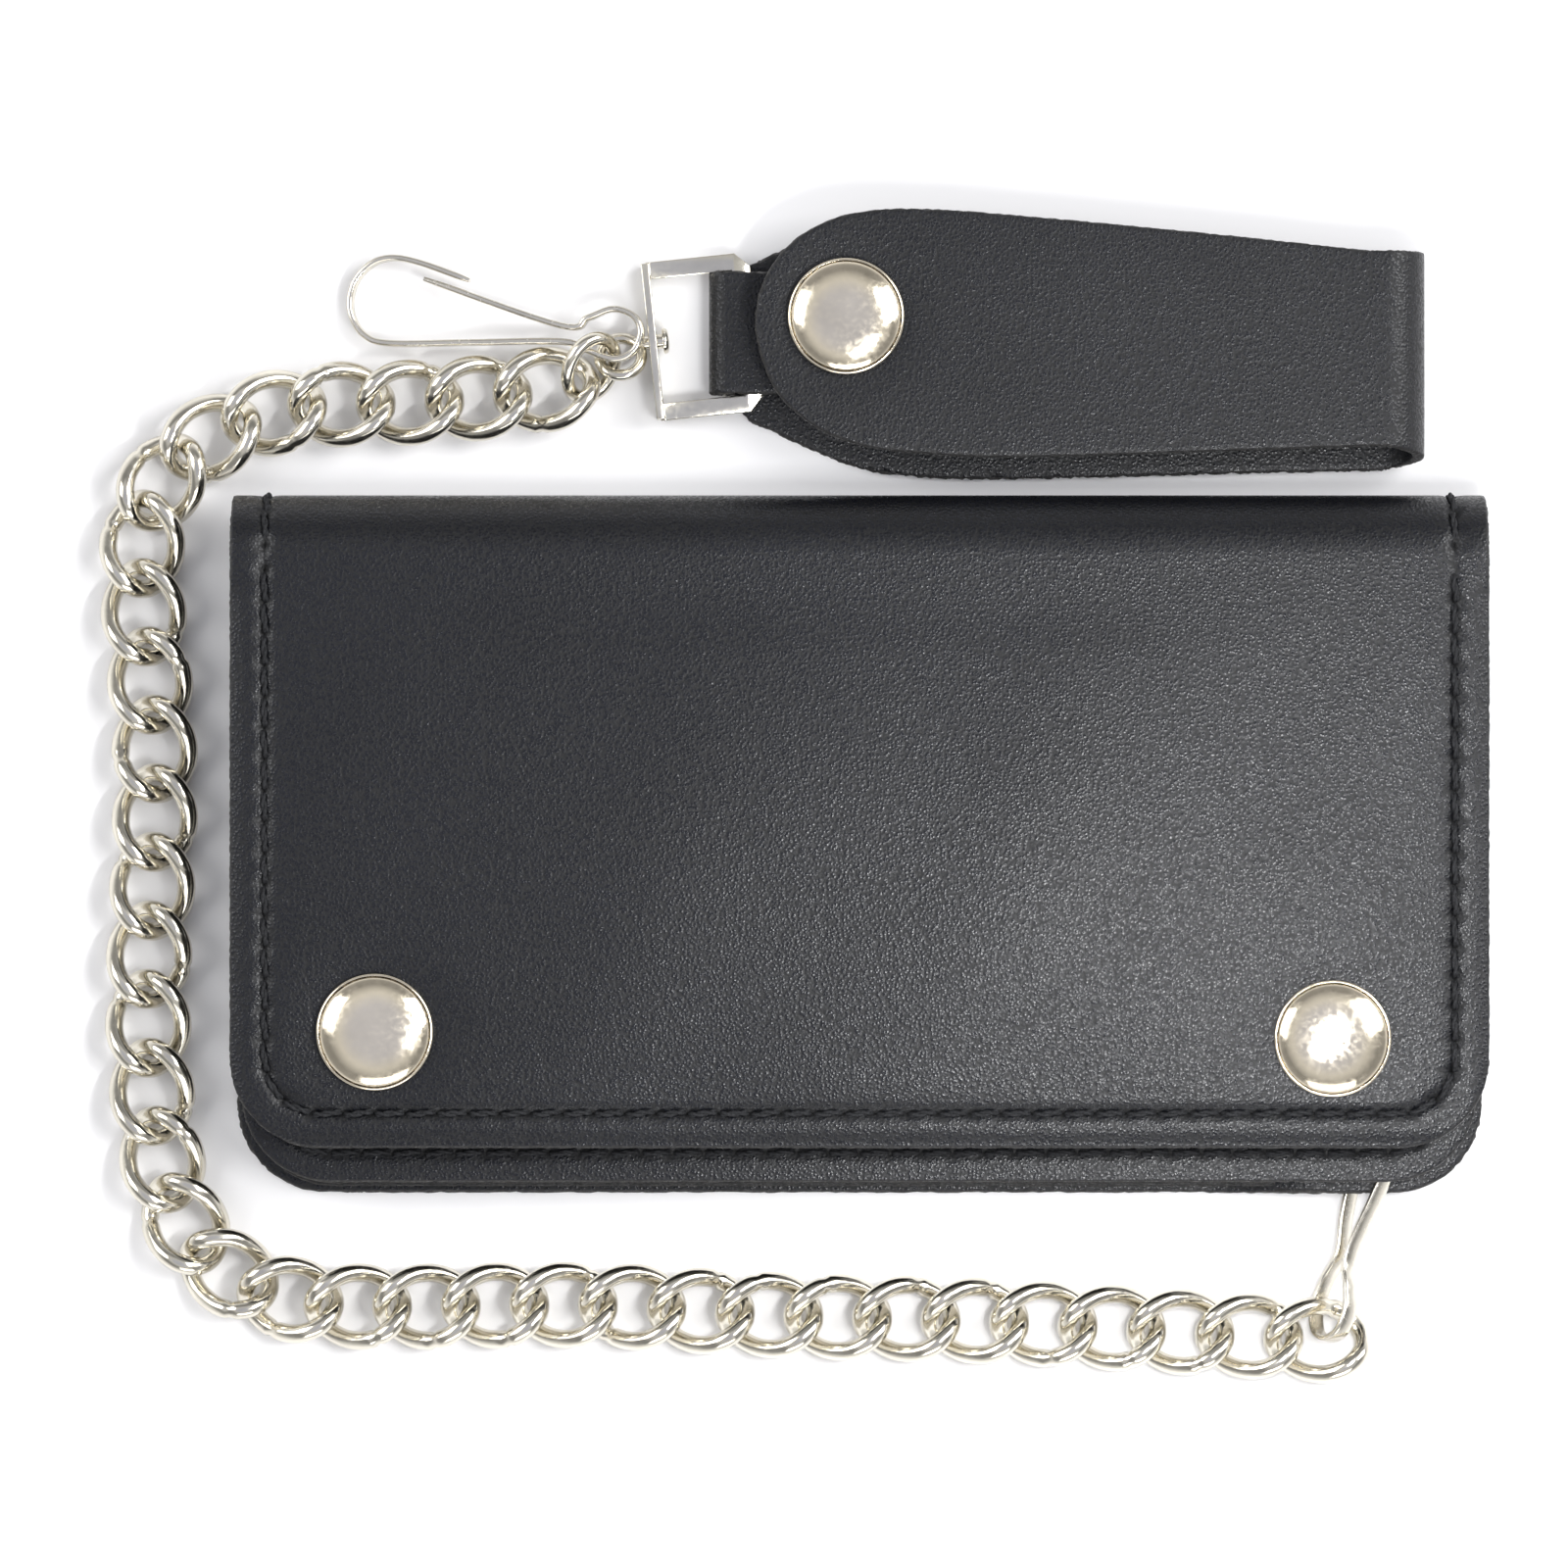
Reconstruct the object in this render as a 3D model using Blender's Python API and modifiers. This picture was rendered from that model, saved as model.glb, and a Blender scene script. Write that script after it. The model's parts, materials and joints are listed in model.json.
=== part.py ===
"""Chain wallet: a folded leather wallet, a curb chain, two spring hooks and a snapped belt strap.

The wallet lies closed on its back cover, with its fold along +Y. The chain leaves the spring hook in the
grommet at the lower right, runs left under the wallet, up its left side and back along its top to the
strap's swivel. The origin is the centre of the wallet's back face, and the table is Z = 0.
"""

import math

import bmesh
import bpy
import numpy as np
from mathutils import Matrix, Vector

# Driving dimensions, in metres.
CLEARANCE = 0.0003          # between pieces that touch
HALF_LENGTH = 0.0855        # wallet, half of its length along X
SPINE_Y = 0.04785           # outermost line of the folded spine
THICKNESS = 0.0166          # closed wallet, without the snap caps
COVER = 0.0014              # cover leather
LINING = 0.0010             # zip panel leather
CORNER_RADIUS = 0.012       # free corners of every panel
BACK_EDGE_Y = -0.0478       # free edges of the panels
CARD_EDGE_Y = -0.0461
FLAP_EDGE_Y = -0.04105
BILL_TOP_Z = 0.0027         # bill divider
BILL_LEATHER = 0.0008
CARD_Z = 0.0083             # underside of the card panel
CARD_LEATHER = 0.0012
POCKET_Z = 0.0098
ZIP_PANEL_Z = 0.0139

SNAP_LEFT = (-0.0661, -0.0256)
SNAP_RIGHT = (0.0645, -0.0265)
SNAP_STRAP = (-0.0018, 0.0723)
CAP_RADIUS = 0.008
CAP_HEIGHT = 0.0024
SOCKET_RADIUS = 0.006
SOCKET_HEIGHT = 0.0026
STUD_RADIUS = 0.003
STUD_HEIGHT = 0.0021        # above its flange
POST_RADIUS = 0.0016
TURN_STEPS = 20

GROMMET = (0.0753, -0.0279)
GROMMET_TUBE = 0.0044
GROMMET_BORE = 0.0039
GROMMET_FLANGE = 0.006
CORNER_LIFT = 0.0031        # how far the hook holds the back cover's corner off the table

WIRE_RADIUS = 0.0013        # curb chain
LINK_COUNT = 35
LINK_GAP = 0.00045          # between wires that cross
LINK_HALF_WIDTH = 0.0047    # centre line
LINK_TWIST = math.radians(46)
LINK_POINTS = 16
SQUARENESS = 2.3            # superellipse exponent of a link
# Centre line of the laid-out chain, from the wallet's hook to the end ring.
CHAIN_ROUTE = (
    (0.0681, -0.0688), (0.0440, -0.0674), (0.0168, -0.0659), (-0.0103, -0.0652), (-0.0375, -0.0637),
    (-0.0619, -0.0640), (-0.0782, -0.0633), (-0.0897, -0.0579), (-0.0958, -0.0461), (-0.0981, -0.0271),
    (-0.0976, -0.0081), (-0.0970, 0.0109), (-0.0985, 0.0299), (-0.0992, 0.0421), (-0.0968, 0.0507),
    (-0.0893, 0.0561), (-0.0795, 0.0602), (-0.0646, 0.0607), (-0.0510, 0.0615), (-0.0384, 0.0634),
)

HOOK_STRIP = 0.0009         # spring steel strip of both hooks
HOOK_WIDTH = 0.0024
STRAP_LEATHER = 0.0016
STRAP_TOP_Z = 0.0112
STRAP_FOLD_X = 0.0779       # outermost line of the strap's fold
FRAME_ANGLE = math.radians(6)

FLAP_RADIUS = (THICKNESS - COVER) / 2       # middle of the spine's leather
HINGE_Y = SPINE_Y - THICKNESS / 2 - CLEARANCE / 2
SPINE_START_Y = HINGE_Y + CLEARANCE / 2
HINGE_Z = THICKNESS + 0.0002

ZIP_Y = 0.020
ZIP_HALF_LENGTH = 0.062
ZIP_HALF_WIDTH = 0.0035

RING_PLACE = (-0.0369, 0.06561, 0.00422)
RING_TURN = (-37.4, 33.3, -98.4)     # degrees
RING_HALF_LENGTH = 0.0047
RING_HALF_WIDTH = 0.0038
RING_WIRE = 0.00095

# Each path runs from the gate's free end, round the small loop and the big loop, back to beside the gate.
WALLET_HOOK_PATH = (
    (0.0270, 0.0029), (0.0176, 0.0028), (0.0072, 0.0006), (0.0030, 0.0023), (-0.0002, 0.0035),
    (-0.0034, 0.0030), (-0.0049, 0.0006), (-0.0042, -0.0018), (-0.0014, -0.00315), (0.0026, -0.0028),
    (0.0068, -0.0014), (0.0120, -0.0026), (0.0176, -0.0031), (0.0296, -0.0031), (0.0335, -0.0025),
    (0.0357, -0.0008), (0.0359, 0.0012), (0.0342, 0.0032), (0.0305, 0.0040), (0.0273, 0.0041),
    (0.0206, 0.0041),
)
WALLET_HOOK_PLACE = (0.06558, -0.06347, 0.00363)
WALLET_HOOK_HEADING = math.radians(16)
WALLET_HOOK_TILT = math.radians(54)

STRAP_HOOK_PATH = (
    (0.0264, 0.00387), (0.0066, 0.0003), (0.0030, 0.0019), (-0.0002, 0.0036), (-0.0032, 0.0031),
    (-0.0046, 0.0010), (-0.0039, -0.0018), (-0.0014, -0.0032), (0.0026, -0.0025), (0.0062, -0.0019),
    (0.0189, -0.0039), (0.0296, -0.0056), (0.0335, -0.0050), (0.0359, -0.0020), (0.0360, 0.0017),
    (0.0342, 0.0047), (0.0314, 0.0061), (0.0273, 0.0060), (0.0201, 0.0046),
)
STRAP_HOOK_PLACE = (-0.03464, 0.07011, 0.00535)
STRAP_HOOK_ALONG = (-0.988, 0.153, -0.114)
STRAP_HOOK_ASIDE = (0.153, 0.988, 0.0)

EYE_RADIUS = 0.0029
EYE_WIRE = 0.0008
EYE_TILT = -0.445
EYE_CENTER = (-0.0023, -0.00175, 0)     # from the shank's start
SHANK_START = (-0.03075, 0.0690, 0.00216)
SHANK_RADIUS = 0.001
SHANK_HEAD = 0.0037         # along the shank, where its riveted head starts
FRAME_START = 0.0018        # along the shank, outer face of the frame's left bar
FRAME_LENGTH = 0.015
FRAME_HALF_WIDTH = 0.011
FRAME_WINDOW = 0.0086       # half width
FRAME_CHAMFER = 0.002
FRAME_BAR = 0.0027
FRAME_PLATE = 0.001
FRAME_RAISE = 0.0006        # of the plate over the shank's axis
LEFT_BAR = 0.0011
LEFT_BAR_HALF_LENGTH = 0.01075
LEFT_BAR_LOW = 0.0020       # below the shank's axis
LEFT_BAR_HIGH = 0.0028
BAR_DISTANCE = FRAME_START + FRAME_LENGTH - FRAME_BAR / 2
BAR = (
    SHANK_START[0] + BAR_DISTANCE * math.cos(FRAME_ANGLE),
    SHANK_START[1] + BAR_DISTANCE * math.sin(FRAME_ANGLE),
    SHANK_START[2] + FRAME_RAISE,
)

STRAP_RADIUS = (STRAP_TOP_Z - STRAP_LEATHER) / 2        # middle of the fold's leather
FOLD_X = STRAP_FOLD_X - STRAP_TOP_Z / 2
STRAP_HINGE_Z = STRAP_TOP_Z + 0.0002
LOOP_X = -0.0179            # centre of the turn round the ring frame's bar
LOOP_RADIUS = BAR[2] - STRAP_LEATHER / 2
TONGUE = (0.0623, 0.0785)
TONGUE_END_X = 0.008
STRAP_WASHER_RADIUS = 0.004
STRAP_WASHER_Z = 0.0006
# Lower leaf: X, then the Y of its two edges, from the fold to the tongue.
LOWER_LEAF = (
    (0.0450, 0.0513, 0.0827), (0.0220, 0.0507, 0.0845), (0.0114, 0.0508, 0.0853),
    (0.0033, 0.0515, 0.0855), (-0.0022, 0.0530, 0.0848), (-0.0076, 0.0553, 0.0830),
    (-0.0152, 0.0587, 0.0794), (-0.0166, *TONGUE),
)


def clear_scene():
    for thing in list(bpy.data.objects):
        bpy.data.objects.remove(thing, do_unlink=True)
    for name in ("chain_wallet", "cutters"):
        group = bpy.data.collections.new(name)
        bpy.context.scene.collection.children.link(group)
    bpy.data.collections["cutters"].hide_render = True


def principled(name, color, roughness, metallic):
    material = bpy.data.materials.new(name)
    material.use_nodes = True
    shader = material.node_tree.nodes["Principled BSDF"]
    shader.inputs["Base Color"].default_value = (*color, 1)
    shader.inputs["Roughness"].default_value = roughness
    shader.inputs["Metallic"].default_value = metallic
    return material


def leather(name):
    return principled(f"{name}_leather", (0.012, 0.012, 0.014), 0.5, 0)


def nickel(name):
    return principled(f"{name}_nickel", (0.75, 0.73, 0.69), 0.22, 1)


def add_object(name, data, material=None, group="chain_wallet"):
    thing = bpy.data.objects.new(name, data)
    bpy.data.collections[group].objects.link(thing)
    if material and not data.materials:
        data.materials.append(material)
    if group == "cutters":
        thing.hide_render = True
        thing.display_type = "WIRE"
    return thing


def add_pivot(name, place):
    pivot = bpy.data.objects.new(name, None)
    pivot.location = place
    pivot.empty_display_size = 0.01
    bpy.data.collections["chain_wallet"].objects.link(pivot)
    return pivot


def attach(pieces, pivot):
    """Parents pieces to a pivot and leaves them where they are."""
    for piece in pieces:
        piece.parent = pivot
        piece.matrix_parent_inverse = Matrix.Translation(pivot.location).inverted()


def smooth_curve(points, steps):
    """A Catmull-Rom curve through the points, with its ends carried straight on."""
    points = [np.array(point, float) for point in points]
    points = [2 * points[0] - points[1], *points, 2 * points[-1] - points[-2]]
    curve = []
    for before, start, end, after in zip(points, points[1:], points[2:], points[3:]):
        for t in np.arange(steps) / steps:
            linear = (end - before) * t
            square = (2 * before - 5 * start + 4 * end - after) * t**2
            cube = (3 * start - before - 3 * end + after) * t**3
            curve.append(start + 0.5 * (linear + square + cube))
    return np.array([*curve, points[-2]])


def arc(center, radius, start, end, steps):
    """Points on a circular arc, with its angles in degrees."""
    angles = np.radians(np.linspace(start, end, steps + 1))
    return [(center[0] + radius * math.cos(a), center[1] + radius * math.sin(a)) for a in angles]


def plate(name, outlines, bottom, thickness, material):
    """A flat piece from an outline and its holes, as a filled 2D curve."""
    curve = bpy.data.curves.new(name, "CURVE")
    curve.dimensions = "2D"
    curve.fill_mode = "BOTH"
    curve.extrude = thickness / 2
    for outline in outlines:
        spline = curve.splines.new("POLY")
        spline.points.add(len(outline) - 1)
        for point, (x, y) in zip(spline.points, outline):
            point.co = (x, y, 0, 1)
        spline.use_cyclic_u = True
    thing = add_object(name, curve, material)
    thing.location.z = bottom + thickness / 2
    return thing


def sheet(name, across, along, place, thickness, material):
    """A bent leather or steel sheet: a grid moved by place(u, v) and given its thickness."""
    mesh = bmesh.new()
    bmesh.ops.create_grid(mesh, x_segments=len(across) - 1, y_segments=len(along) - 1, size=0.5)
    for vertex in mesh.verts:
        column = round((vertex.co.x + 0.5) * (len(across) - 1))
        row = round((vertex.co.y + 0.5) * (len(along) - 1))
        vertex.co = place(across[column], along[row])
    data = bpy.data.meshes.new(name)
    mesh.to_mesh(data)
    mesh.free()
    thing = add_object(name, data, material)
    solid = thing.modifiers.new("thickness", "SOLIDIFY")
    solid.thickness = thickness
    solid.offset = 0
    solid.use_even_offset = True
    return thing


def turned(name, profile, place, material=None, closed=False, group="chain_wallet"):
    """A turned piece from its (radius, height) profile, which runs down the outside."""
    data = bpy.data.meshes.new(name)
    edges = [(i, i + 1) for i in range(len(profile) - 1)]
    if closed:
        edges.append((len(profile) - 1, 0))
    data.from_pydata([(radius, 0, height) for radius, height in profile], edges, [])
    thing = add_object(name, data, material, group)
    thing.location = place
    screw = thing.modifiers.new("turn", "SCREW")
    screw.steps = TURN_STEPS
    screw.render_steps = TURN_STEPS
    screw.use_merge_vertices = True
    screw.merge_threshold = 0.00001
    screw.use_smooth_shade = True
    return thing


def cut(thing, cutter, operation="DIFFERENCE"):
    boolean = thing.modifiers.new(cutter.name, "BOOLEAN")
    boolean.operation = operation
    boolean.object = cutter


def disc(radius, bottom, top):
    return [(0, top), (radius, top), (radius, bottom), (0, bottom)]


def circle(center, radius):
    return arc(center, radius, 0, 360 - 360 / TURN_STEPS, TURN_STEPS - 1)


# Leather panels of the wallet

def panel_outline(half_width, edge_y, top_y):
    """A rectangle whose two free corners are rounded."""
    inner = half_width - CORNER_RADIUS
    low = edge_y + CORNER_RADIUS
    return [
        (half_width, top_y),
        (-half_width, top_y),
        *arc((-inner, low), CORNER_RADIUS, 180, 270, 6),
        *arc((inner, low), CORNER_RADIUS, 270, 360, 6),
    ]


def ramp(value, start, end):
    t = min(max((value - start) / (end - start), 0), 1)
    return t * t * (3 - 2 * t)


def corner_lift(x, y):
    """Height of the back cover over the table, where the spring hook passes under its corner."""
    return CORNER_LIFT * ramp(x, 0.048, 0.064) * ramp(y, -0.006, -0.022)


def back_cover():
    """The back cover, with the spine that folds over to the flap."""
    corner = [BACK_EDGE_Y + CORNER_RADIUS * (1 - math.cos(a)) for a in np.radians(np.linspace(0, 90, 6))]
    flat = [-0.030, -0.022, -0.018, -0.014, -0.010, -0.006, 0.015, SPINE_START_Y]
    turn = list(np.radians(np.linspace(-90, 90, 11)[1:]))
    rows = [("flat", y) for y in corner + flat] + [("spine", angle) for angle in turn]
    columns = [-1, -0.5, 0, 0.3, 0.56, 0.62, 0.69, 0.75, 0.88, 1]

    def place(side, row):
        kind, value = row
        if kind == "spine":
            y = SPINE_START_Y + FLAP_RADIUS * math.cos(value)
            return Vector((side * HALF_LENGTH, y, THICKNESS / 2 + FLAP_RADIUS * math.sin(value)))
        rise = max(CORNER_RADIUS - (value - BACK_EDGE_Y), 0)
        half_width = HALF_LENGTH - CORNER_RADIUS + math.sqrt(CORNER_RADIUS**2 - rise**2)
        x = side * half_width
        return Vector((x, value, COVER / 2 + corner_lift(x, value)))

    cover = sheet("back_cover", columns, rows, place, COVER, leather("back_cover"))
    hole = turned("grommet_hole", disc(GROMMET_TUBE + CLEARANCE, 0, 0.01), (*GROMMET, 0),
                  group="cutters")
    cut(cover, hole)
    return cover


def grommet():
    bottom = CORNER_LIFT - CLEARANCE
    top = CORNER_LIFT + COVER + CLEARANCE
    rim = 0.0003
    profile = [
        (GROMMET_BORE + rim, top + rim), (GROMMET_FLANGE, top + rim), (GROMMET_FLANGE, top),
        (GROMMET_TUBE, top), (GROMMET_TUBE, bottom), (GROMMET_FLANGE, bottom),
        (GROMMET_FLANGE, bottom - rim), (GROMMET_BORE + rim, bottom - rim),
        (GROMMET_BORE, bottom), (GROMMET_BORE, top),
    ]
    return turned("grommet", profile, (*GROMMET, 0), nickel("grommet"), closed=True)


def bill_divider():
    """The thin panel behind the bill compartment, cut back where the hook passes."""
    half = 0.082
    edge = -0.0440
    top = 0.0385
    notch_x = 0.044
    notch_y = -0.003
    outline = [
        (half, top), (-half, top),
        *arc((-half + CORNER_RADIUS, edge + CORNER_RADIUS), CORNER_RADIUS, 180, 270, 6),
        (notch_x, edge),
        *reversed(arc((notch_x + CORNER_RADIUS, notch_y - CORNER_RADIUS), CORNER_RADIUS, 90, 180, 6)),
        (half, notch_y),
    ]
    bottom = BILL_TOP_Z - BILL_LEATHER
    return plate("bill_divider", [outline], bottom, BILL_LEATHER, leather("bill_divider"))


def card_panels():
    holes = [circle(snap, POST_RADIUS + CLEARANCE) for snap in (SNAP_LEFT, SNAP_RIGHT)]
    outline = panel_outline(HALF_LENGTH - 0.001, CARD_EDGE_Y, 0.037)
    panel = plate("card_panel", [outline, *holes], CARD_Z, CARD_LEATHER, leather("card_panel"))
    half = 0.046
    outline = [(half, -0.005), (-half, -0.005), (-half, -0.041), (half, -0.041)]
    pocket = plate("card_pocket", [outline], POCKET_Z, BILL_LEATHER, leather("card_pocket"))
    return panel, pocket


def flap():
    """The front cover, and the zip panel that lines it."""
    holes = [circle(snap, POST_RADIUS + CLEARANCE) for snap in (SNAP_LEFT, SNAP_RIGHT)]
    outline = panel_outline(HALF_LENGTH, FLAP_EDGE_Y, HINGE_Y - CLEARANCE / 2)
    front = plate("front_cover", [outline, *holes], THICKNESS - COVER, COVER, leather("front_cover"))
    outline = panel_outline(HALF_LENGTH - 0.002, FLAP_EDGE_Y + 0.002, 0.036)
    left = -ZIP_HALF_LENGTH
    right = ZIP_HALF_LENGTH
    low = ZIP_Y - ZIP_HALF_WIDTH
    high = ZIP_Y + ZIP_HALF_WIDTH
    slot = [(left, low), (right, low), (right, high), (left, high)]
    lining = plate("zip_panel", [outline, slot, *holes], ZIP_PANEL_Z, LINING, leather("zip_panel"))
    return front, lining


def zip_tape():
    """Two tapes and their coil, as one stepped strip in the zip panel's slot."""
    edge = ZIP_HALF_WIDTH - CLEARANCE
    coil = 0.0011
    low = ZIP_PANEL_Z + 0.0003
    high = low + 0.0005
    section = [
        (-edge, low), (-coil, low), (-coil, ZIP_PANEL_Z), (coil, ZIP_PANEL_Z), (coil, low), (edge, low),
        (edge, high), (-edge, high),
    ]
    tape = plate("zip_tape", [section], 0, 2 * (ZIP_HALF_LENGTH - CLEARANCE), leather("zip_tape"))
    tape.location = (0, ZIP_Y, 0)
    tape.rotation_euler = (math.radians(90), 0, math.radians(90))
    return tape


def zip_slider():
    """The slider with its pull tab, below the coil."""
    x = 0.052
    top = ZIP_PANEL_Z - CLEARANCE
    body = [
        (0.0045, 0.0018), (0.0015, 0.0032), (-0.003, 0.0022), (-0.0045, 0.0022),
        (-0.0165, 0.0022), *arc((-0.0165, 0), 0.0022, 90, 270, 6),
        (-0.0045, -0.0022), (-0.003, -0.0022), (0.0015, -0.0032), (0.0045, -0.0018),
    ]
    slider = plate("zip_slider", [body], top - 0.0014, 0.0014, nickel("zip_slider"))
    slider.location.x = x
    slider.location.y = ZIP_Y
    return slider


# Snap fasteners

def snap_cap(name, place, seat, post_end):
    """A domed cap with a rolled rim, on a post that goes down through the leather."""
    bottom = seat + CLEARANCE
    dome = [
        (CAP_RADIUS * 0.93 * math.sin(a), bottom + 0.0009 + (CAP_HEIGHT - 0.0009) * math.cos(a))
        for a in np.radians([0, 20, 40, 60, 78])
    ]
    rim = [(CAP_RADIUS, bottom + 0.0008), (CAP_RADIUS, bottom + 0.0003), (CAP_RADIUS - 0.0004, bottom)]
    post = [(POST_RADIUS, bottom), (POST_RADIUS, post_end), (0, post_end)]
    return turned(name, dome + rim + post, (*place, 0), nickel(name))


def snap_socket(name, place, ceiling):
    """The cap's other half under the leather: a ring with a blind hole for the stud."""
    top = ceiling - CLEARANCE
    bottom = top - SOCKET_HEIGHT
    bore = STUD_RADIUS + 0.0004
    profile = [
        (0, top), (SOCKET_RADIUS - 0.0005, top), (SOCKET_RADIUS, top - 0.0006), (SOCKET_RADIUS, bottom),
        (bore, bottom), (bore, top - 0.0004), (0, top - 0.0004),
    ]
    return turned(name, profile, (*place, 0), nickel(name))


def snap_stud(name, place, floor, back, back_radius):
    """A ball on a flange, with its post down through the leather to a back washer."""
    seat = floor + CLEARANCE
    flange = seat + 0.0006
    top = flange + STUD_HEIGHT
    neck = STUD_RADIUS - 0.0006
    profile = [
        (0, top), (STUD_RADIUS - 0.0008, top), (STUD_RADIUS, top - 0.0008), (STUD_RADIUS, top - 0.0013),
        (neck, top - 0.0019), (neck, flange), (0.0055, flange), (0.0055, seat), (POST_RADIUS, seat),
        (POST_RADIUS, back), (back_radius, back), (back_radius, back - 0.0005), (0, back - 0.0005),
    ]
    return turned(name, profile, (*place, 0), nickel(name))


# Chain

def link_points(count):
    """A curb link's centre line: a flat superellipse twisted about its long axis, from its own joint."""
    half_length = LINK_PITCH / 2 + WIRE_RADIUS + LINK_GAP / 2
    points = []
    for angle in np.arange(count) * 2 * math.pi / count:
        cosine = math.cos(angle)
        sine = math.sin(angle)
        x = half_length * math.copysign(abs(cosine) ** (2 / SQUARENESS), cosine)
        y = LINK_HALF_WIDTH * math.copysign(abs(sine) ** (2 / SQUARENESS), sine)
        twist = -LINK_TWIST * x / half_length
        points.append((x + LINK_PITCH / 2, y * math.cos(twist), y * math.sin(twist)))
    return points


def chain_joints():
    """The points along the route where one link turns on the next, at equal steps."""
    curve = smooth_curve(CHAIN_ROUTE, 24)
    lengths = np.linalg.norm(np.diff(curve, axis=0), axis=1)
    travelled = np.concatenate([[0], np.cumsum(lengths)])
    steps = np.linspace(0, travelled[-1], LINK_COUNT + 1)
    joints = [(np.interp(s, travelled, curve[:, 0]), np.interp(s, travelled, curve[:, 1])) for s in steps]
    return joints, travelled[-1] / LINK_COUNT


CHAIN_JOINTS, LINK_PITCH = chain_joints()
LINK_Z = WIRE_RADIUS + 0.00002 - min(point[2] for point in link_points(96))


def wire_loop(name, points, radius, material):
    curve = bpy.data.curves.new(name, "CURVE")
    curve.dimensions = "3D"
    curve.bevel_depth = radius
    curve.bevel_resolution = 1
    spline = curve.splines.new("POLY")
    spline.points.add(len(points) - 1)
    for point, place in zip(spline.points, points):
        point.co = (*place, 1)
    spline.use_cyclic_u = True
    curve.materials.append(material)
    return curve


def chain():
    curve = wire_loop("link", link_points(LINK_POINTS), WIRE_RADIUS, nickel("chain"))
    links = []
    for number, (start, end) in enumerate(zip(CHAIN_JOINTS, CHAIN_JOINTS[1:]), 1):
        link = add_object(f"link_{number:02d}", curve)
        link.location = (*start, LINK_Z)
        link.rotation_euler.z = math.atan2(end[1] - start[1], end[0] - start[0])
        links.append(link)
    return links


def end_ring():
    points = []
    for angle in np.radians(np.arange(0, 360, 360 / LINK_POINTS)):
        points.append((RING_HALF_LENGTH * math.cos(angle), RING_HALF_WIDTH * math.sin(angle), 0))
    ring = add_object("end_ring", wire_loop("end_ring", points, RING_WIRE, nickel("end_ring")))
    ring.location = RING_PLACE
    ring.rotation_euler = [math.radians(angle) for angle in RING_TURN]
    return ring


# Spring hooks

def ribbon(name, path, place, along, aside, material):
    """A strip of steel on edge: its path lies in the plane of along and aside, its width crosses it."""
    along = Vector(along).normalized()
    aside = (Vector(aside) - along * along.dot(Vector(aside))).normalized()
    across = along.cross(aside)

    def point(side, step):
        u, v = step
        return Vector(place) + along * u + aside * v + across * side

    half = HOOK_WIDTH / 2
    return sheet(name, [-half, half], path, point, HOOK_STRIP, material)


def wallet_hook():
    heading = WALLET_HOOK_HEADING
    tilt = WALLET_HOOK_TILT
    along = (math.sin(heading), math.cos(heading), 0)
    aside = (math.cos(tilt) * math.cos(heading), -math.cos(tilt) * math.sin(heading), math.sin(tilt))
    path = smooth_curve(WALLET_HOOK_PATH, 3)
    return ribbon("wallet_spring_hook", path, WALLET_HOOK_PLACE, along, aside, nickel("wallet_hook"))


def strap_hook():
    path = smooth_curve(STRAP_HOOK_PATH, 3)
    return ribbon("strap_spring_hook", path, STRAP_HOOK_PLACE, STRAP_HOOK_ALONG, STRAP_HOOK_ASIDE,
                  nickel("strap_hook"))


# Swivel and ring frame


def made_by_operator(name):
    """Takes the object that the last mesh operator made into the cutters."""
    thing = bpy.context.active_object
    thing.name = name
    for collection in list(thing.users_collection):
        collection.objects.unlink(thing)
    bpy.data.collections["cutters"].objects.link(thing)
    thing.hide_render = True
    thing.display_type = "WIRE"
    return thing


def swivel_eye():
    """A wire eye on a shank, which is riveted over inside the ring frame."""
    head = SHANK_HEAD
    profile = [
        (0, head + 0.0009), (0.0014, head + 0.0007), (0.0018, head), (SHANK_RADIUS, head),
        (SHANK_RADIUS, 0), (0, 0),
    ]
    eye = turned("swivel_eye", profile, SHANK_START, nickel("swivel_eye"))
    eye.rotation_euler = (0, math.radians(90), FRAME_ANGLE)
    turn = Matrix.Rotation(FRAME_ANGLE, 3, "Z") @ Matrix.Rotation(EYE_TILT, 3, "X")
    bpy.ops.mesh.primitive_torus_add(
        major_radius=EYE_RADIUS, minor_radius=EYE_WIRE, major_segments=LINK_POINTS, minor_segments=8,
        location=Vector(SHANK_START) + turn @ Vector(EYE_CENTER), rotation=turn.to_euler())
    cut(eye, made_by_operator("eye_loop"), "UNION")
    return eye


def as_mesh(curve_object, name):
    """Replaces a curve object with its mesh, caps welded, so that it takes a Boolean."""
    bpy.context.view_layer.update()
    evaluated = curve_object.evaluated_get(bpy.context.evaluated_depsgraph_get())
    data = bpy.data.meshes.new_from_object(evaluated)
    mesh = bmesh.new()
    mesh.from_mesh(data)
    bmesh.ops.remove_doubles(mesh, verts=mesh.verts, dist=0.000001)
    bmesh.ops.recalc_face_normals(mesh, faces=mesh.faces)
    mesh.to_mesh(data)
    mesh.free()
    place = curve_object.matrix_world.copy()
    bpy.data.objects.remove(curve_object)
    thing = add_object(name, data)
    thing.matrix_world = place
    return thing


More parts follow.
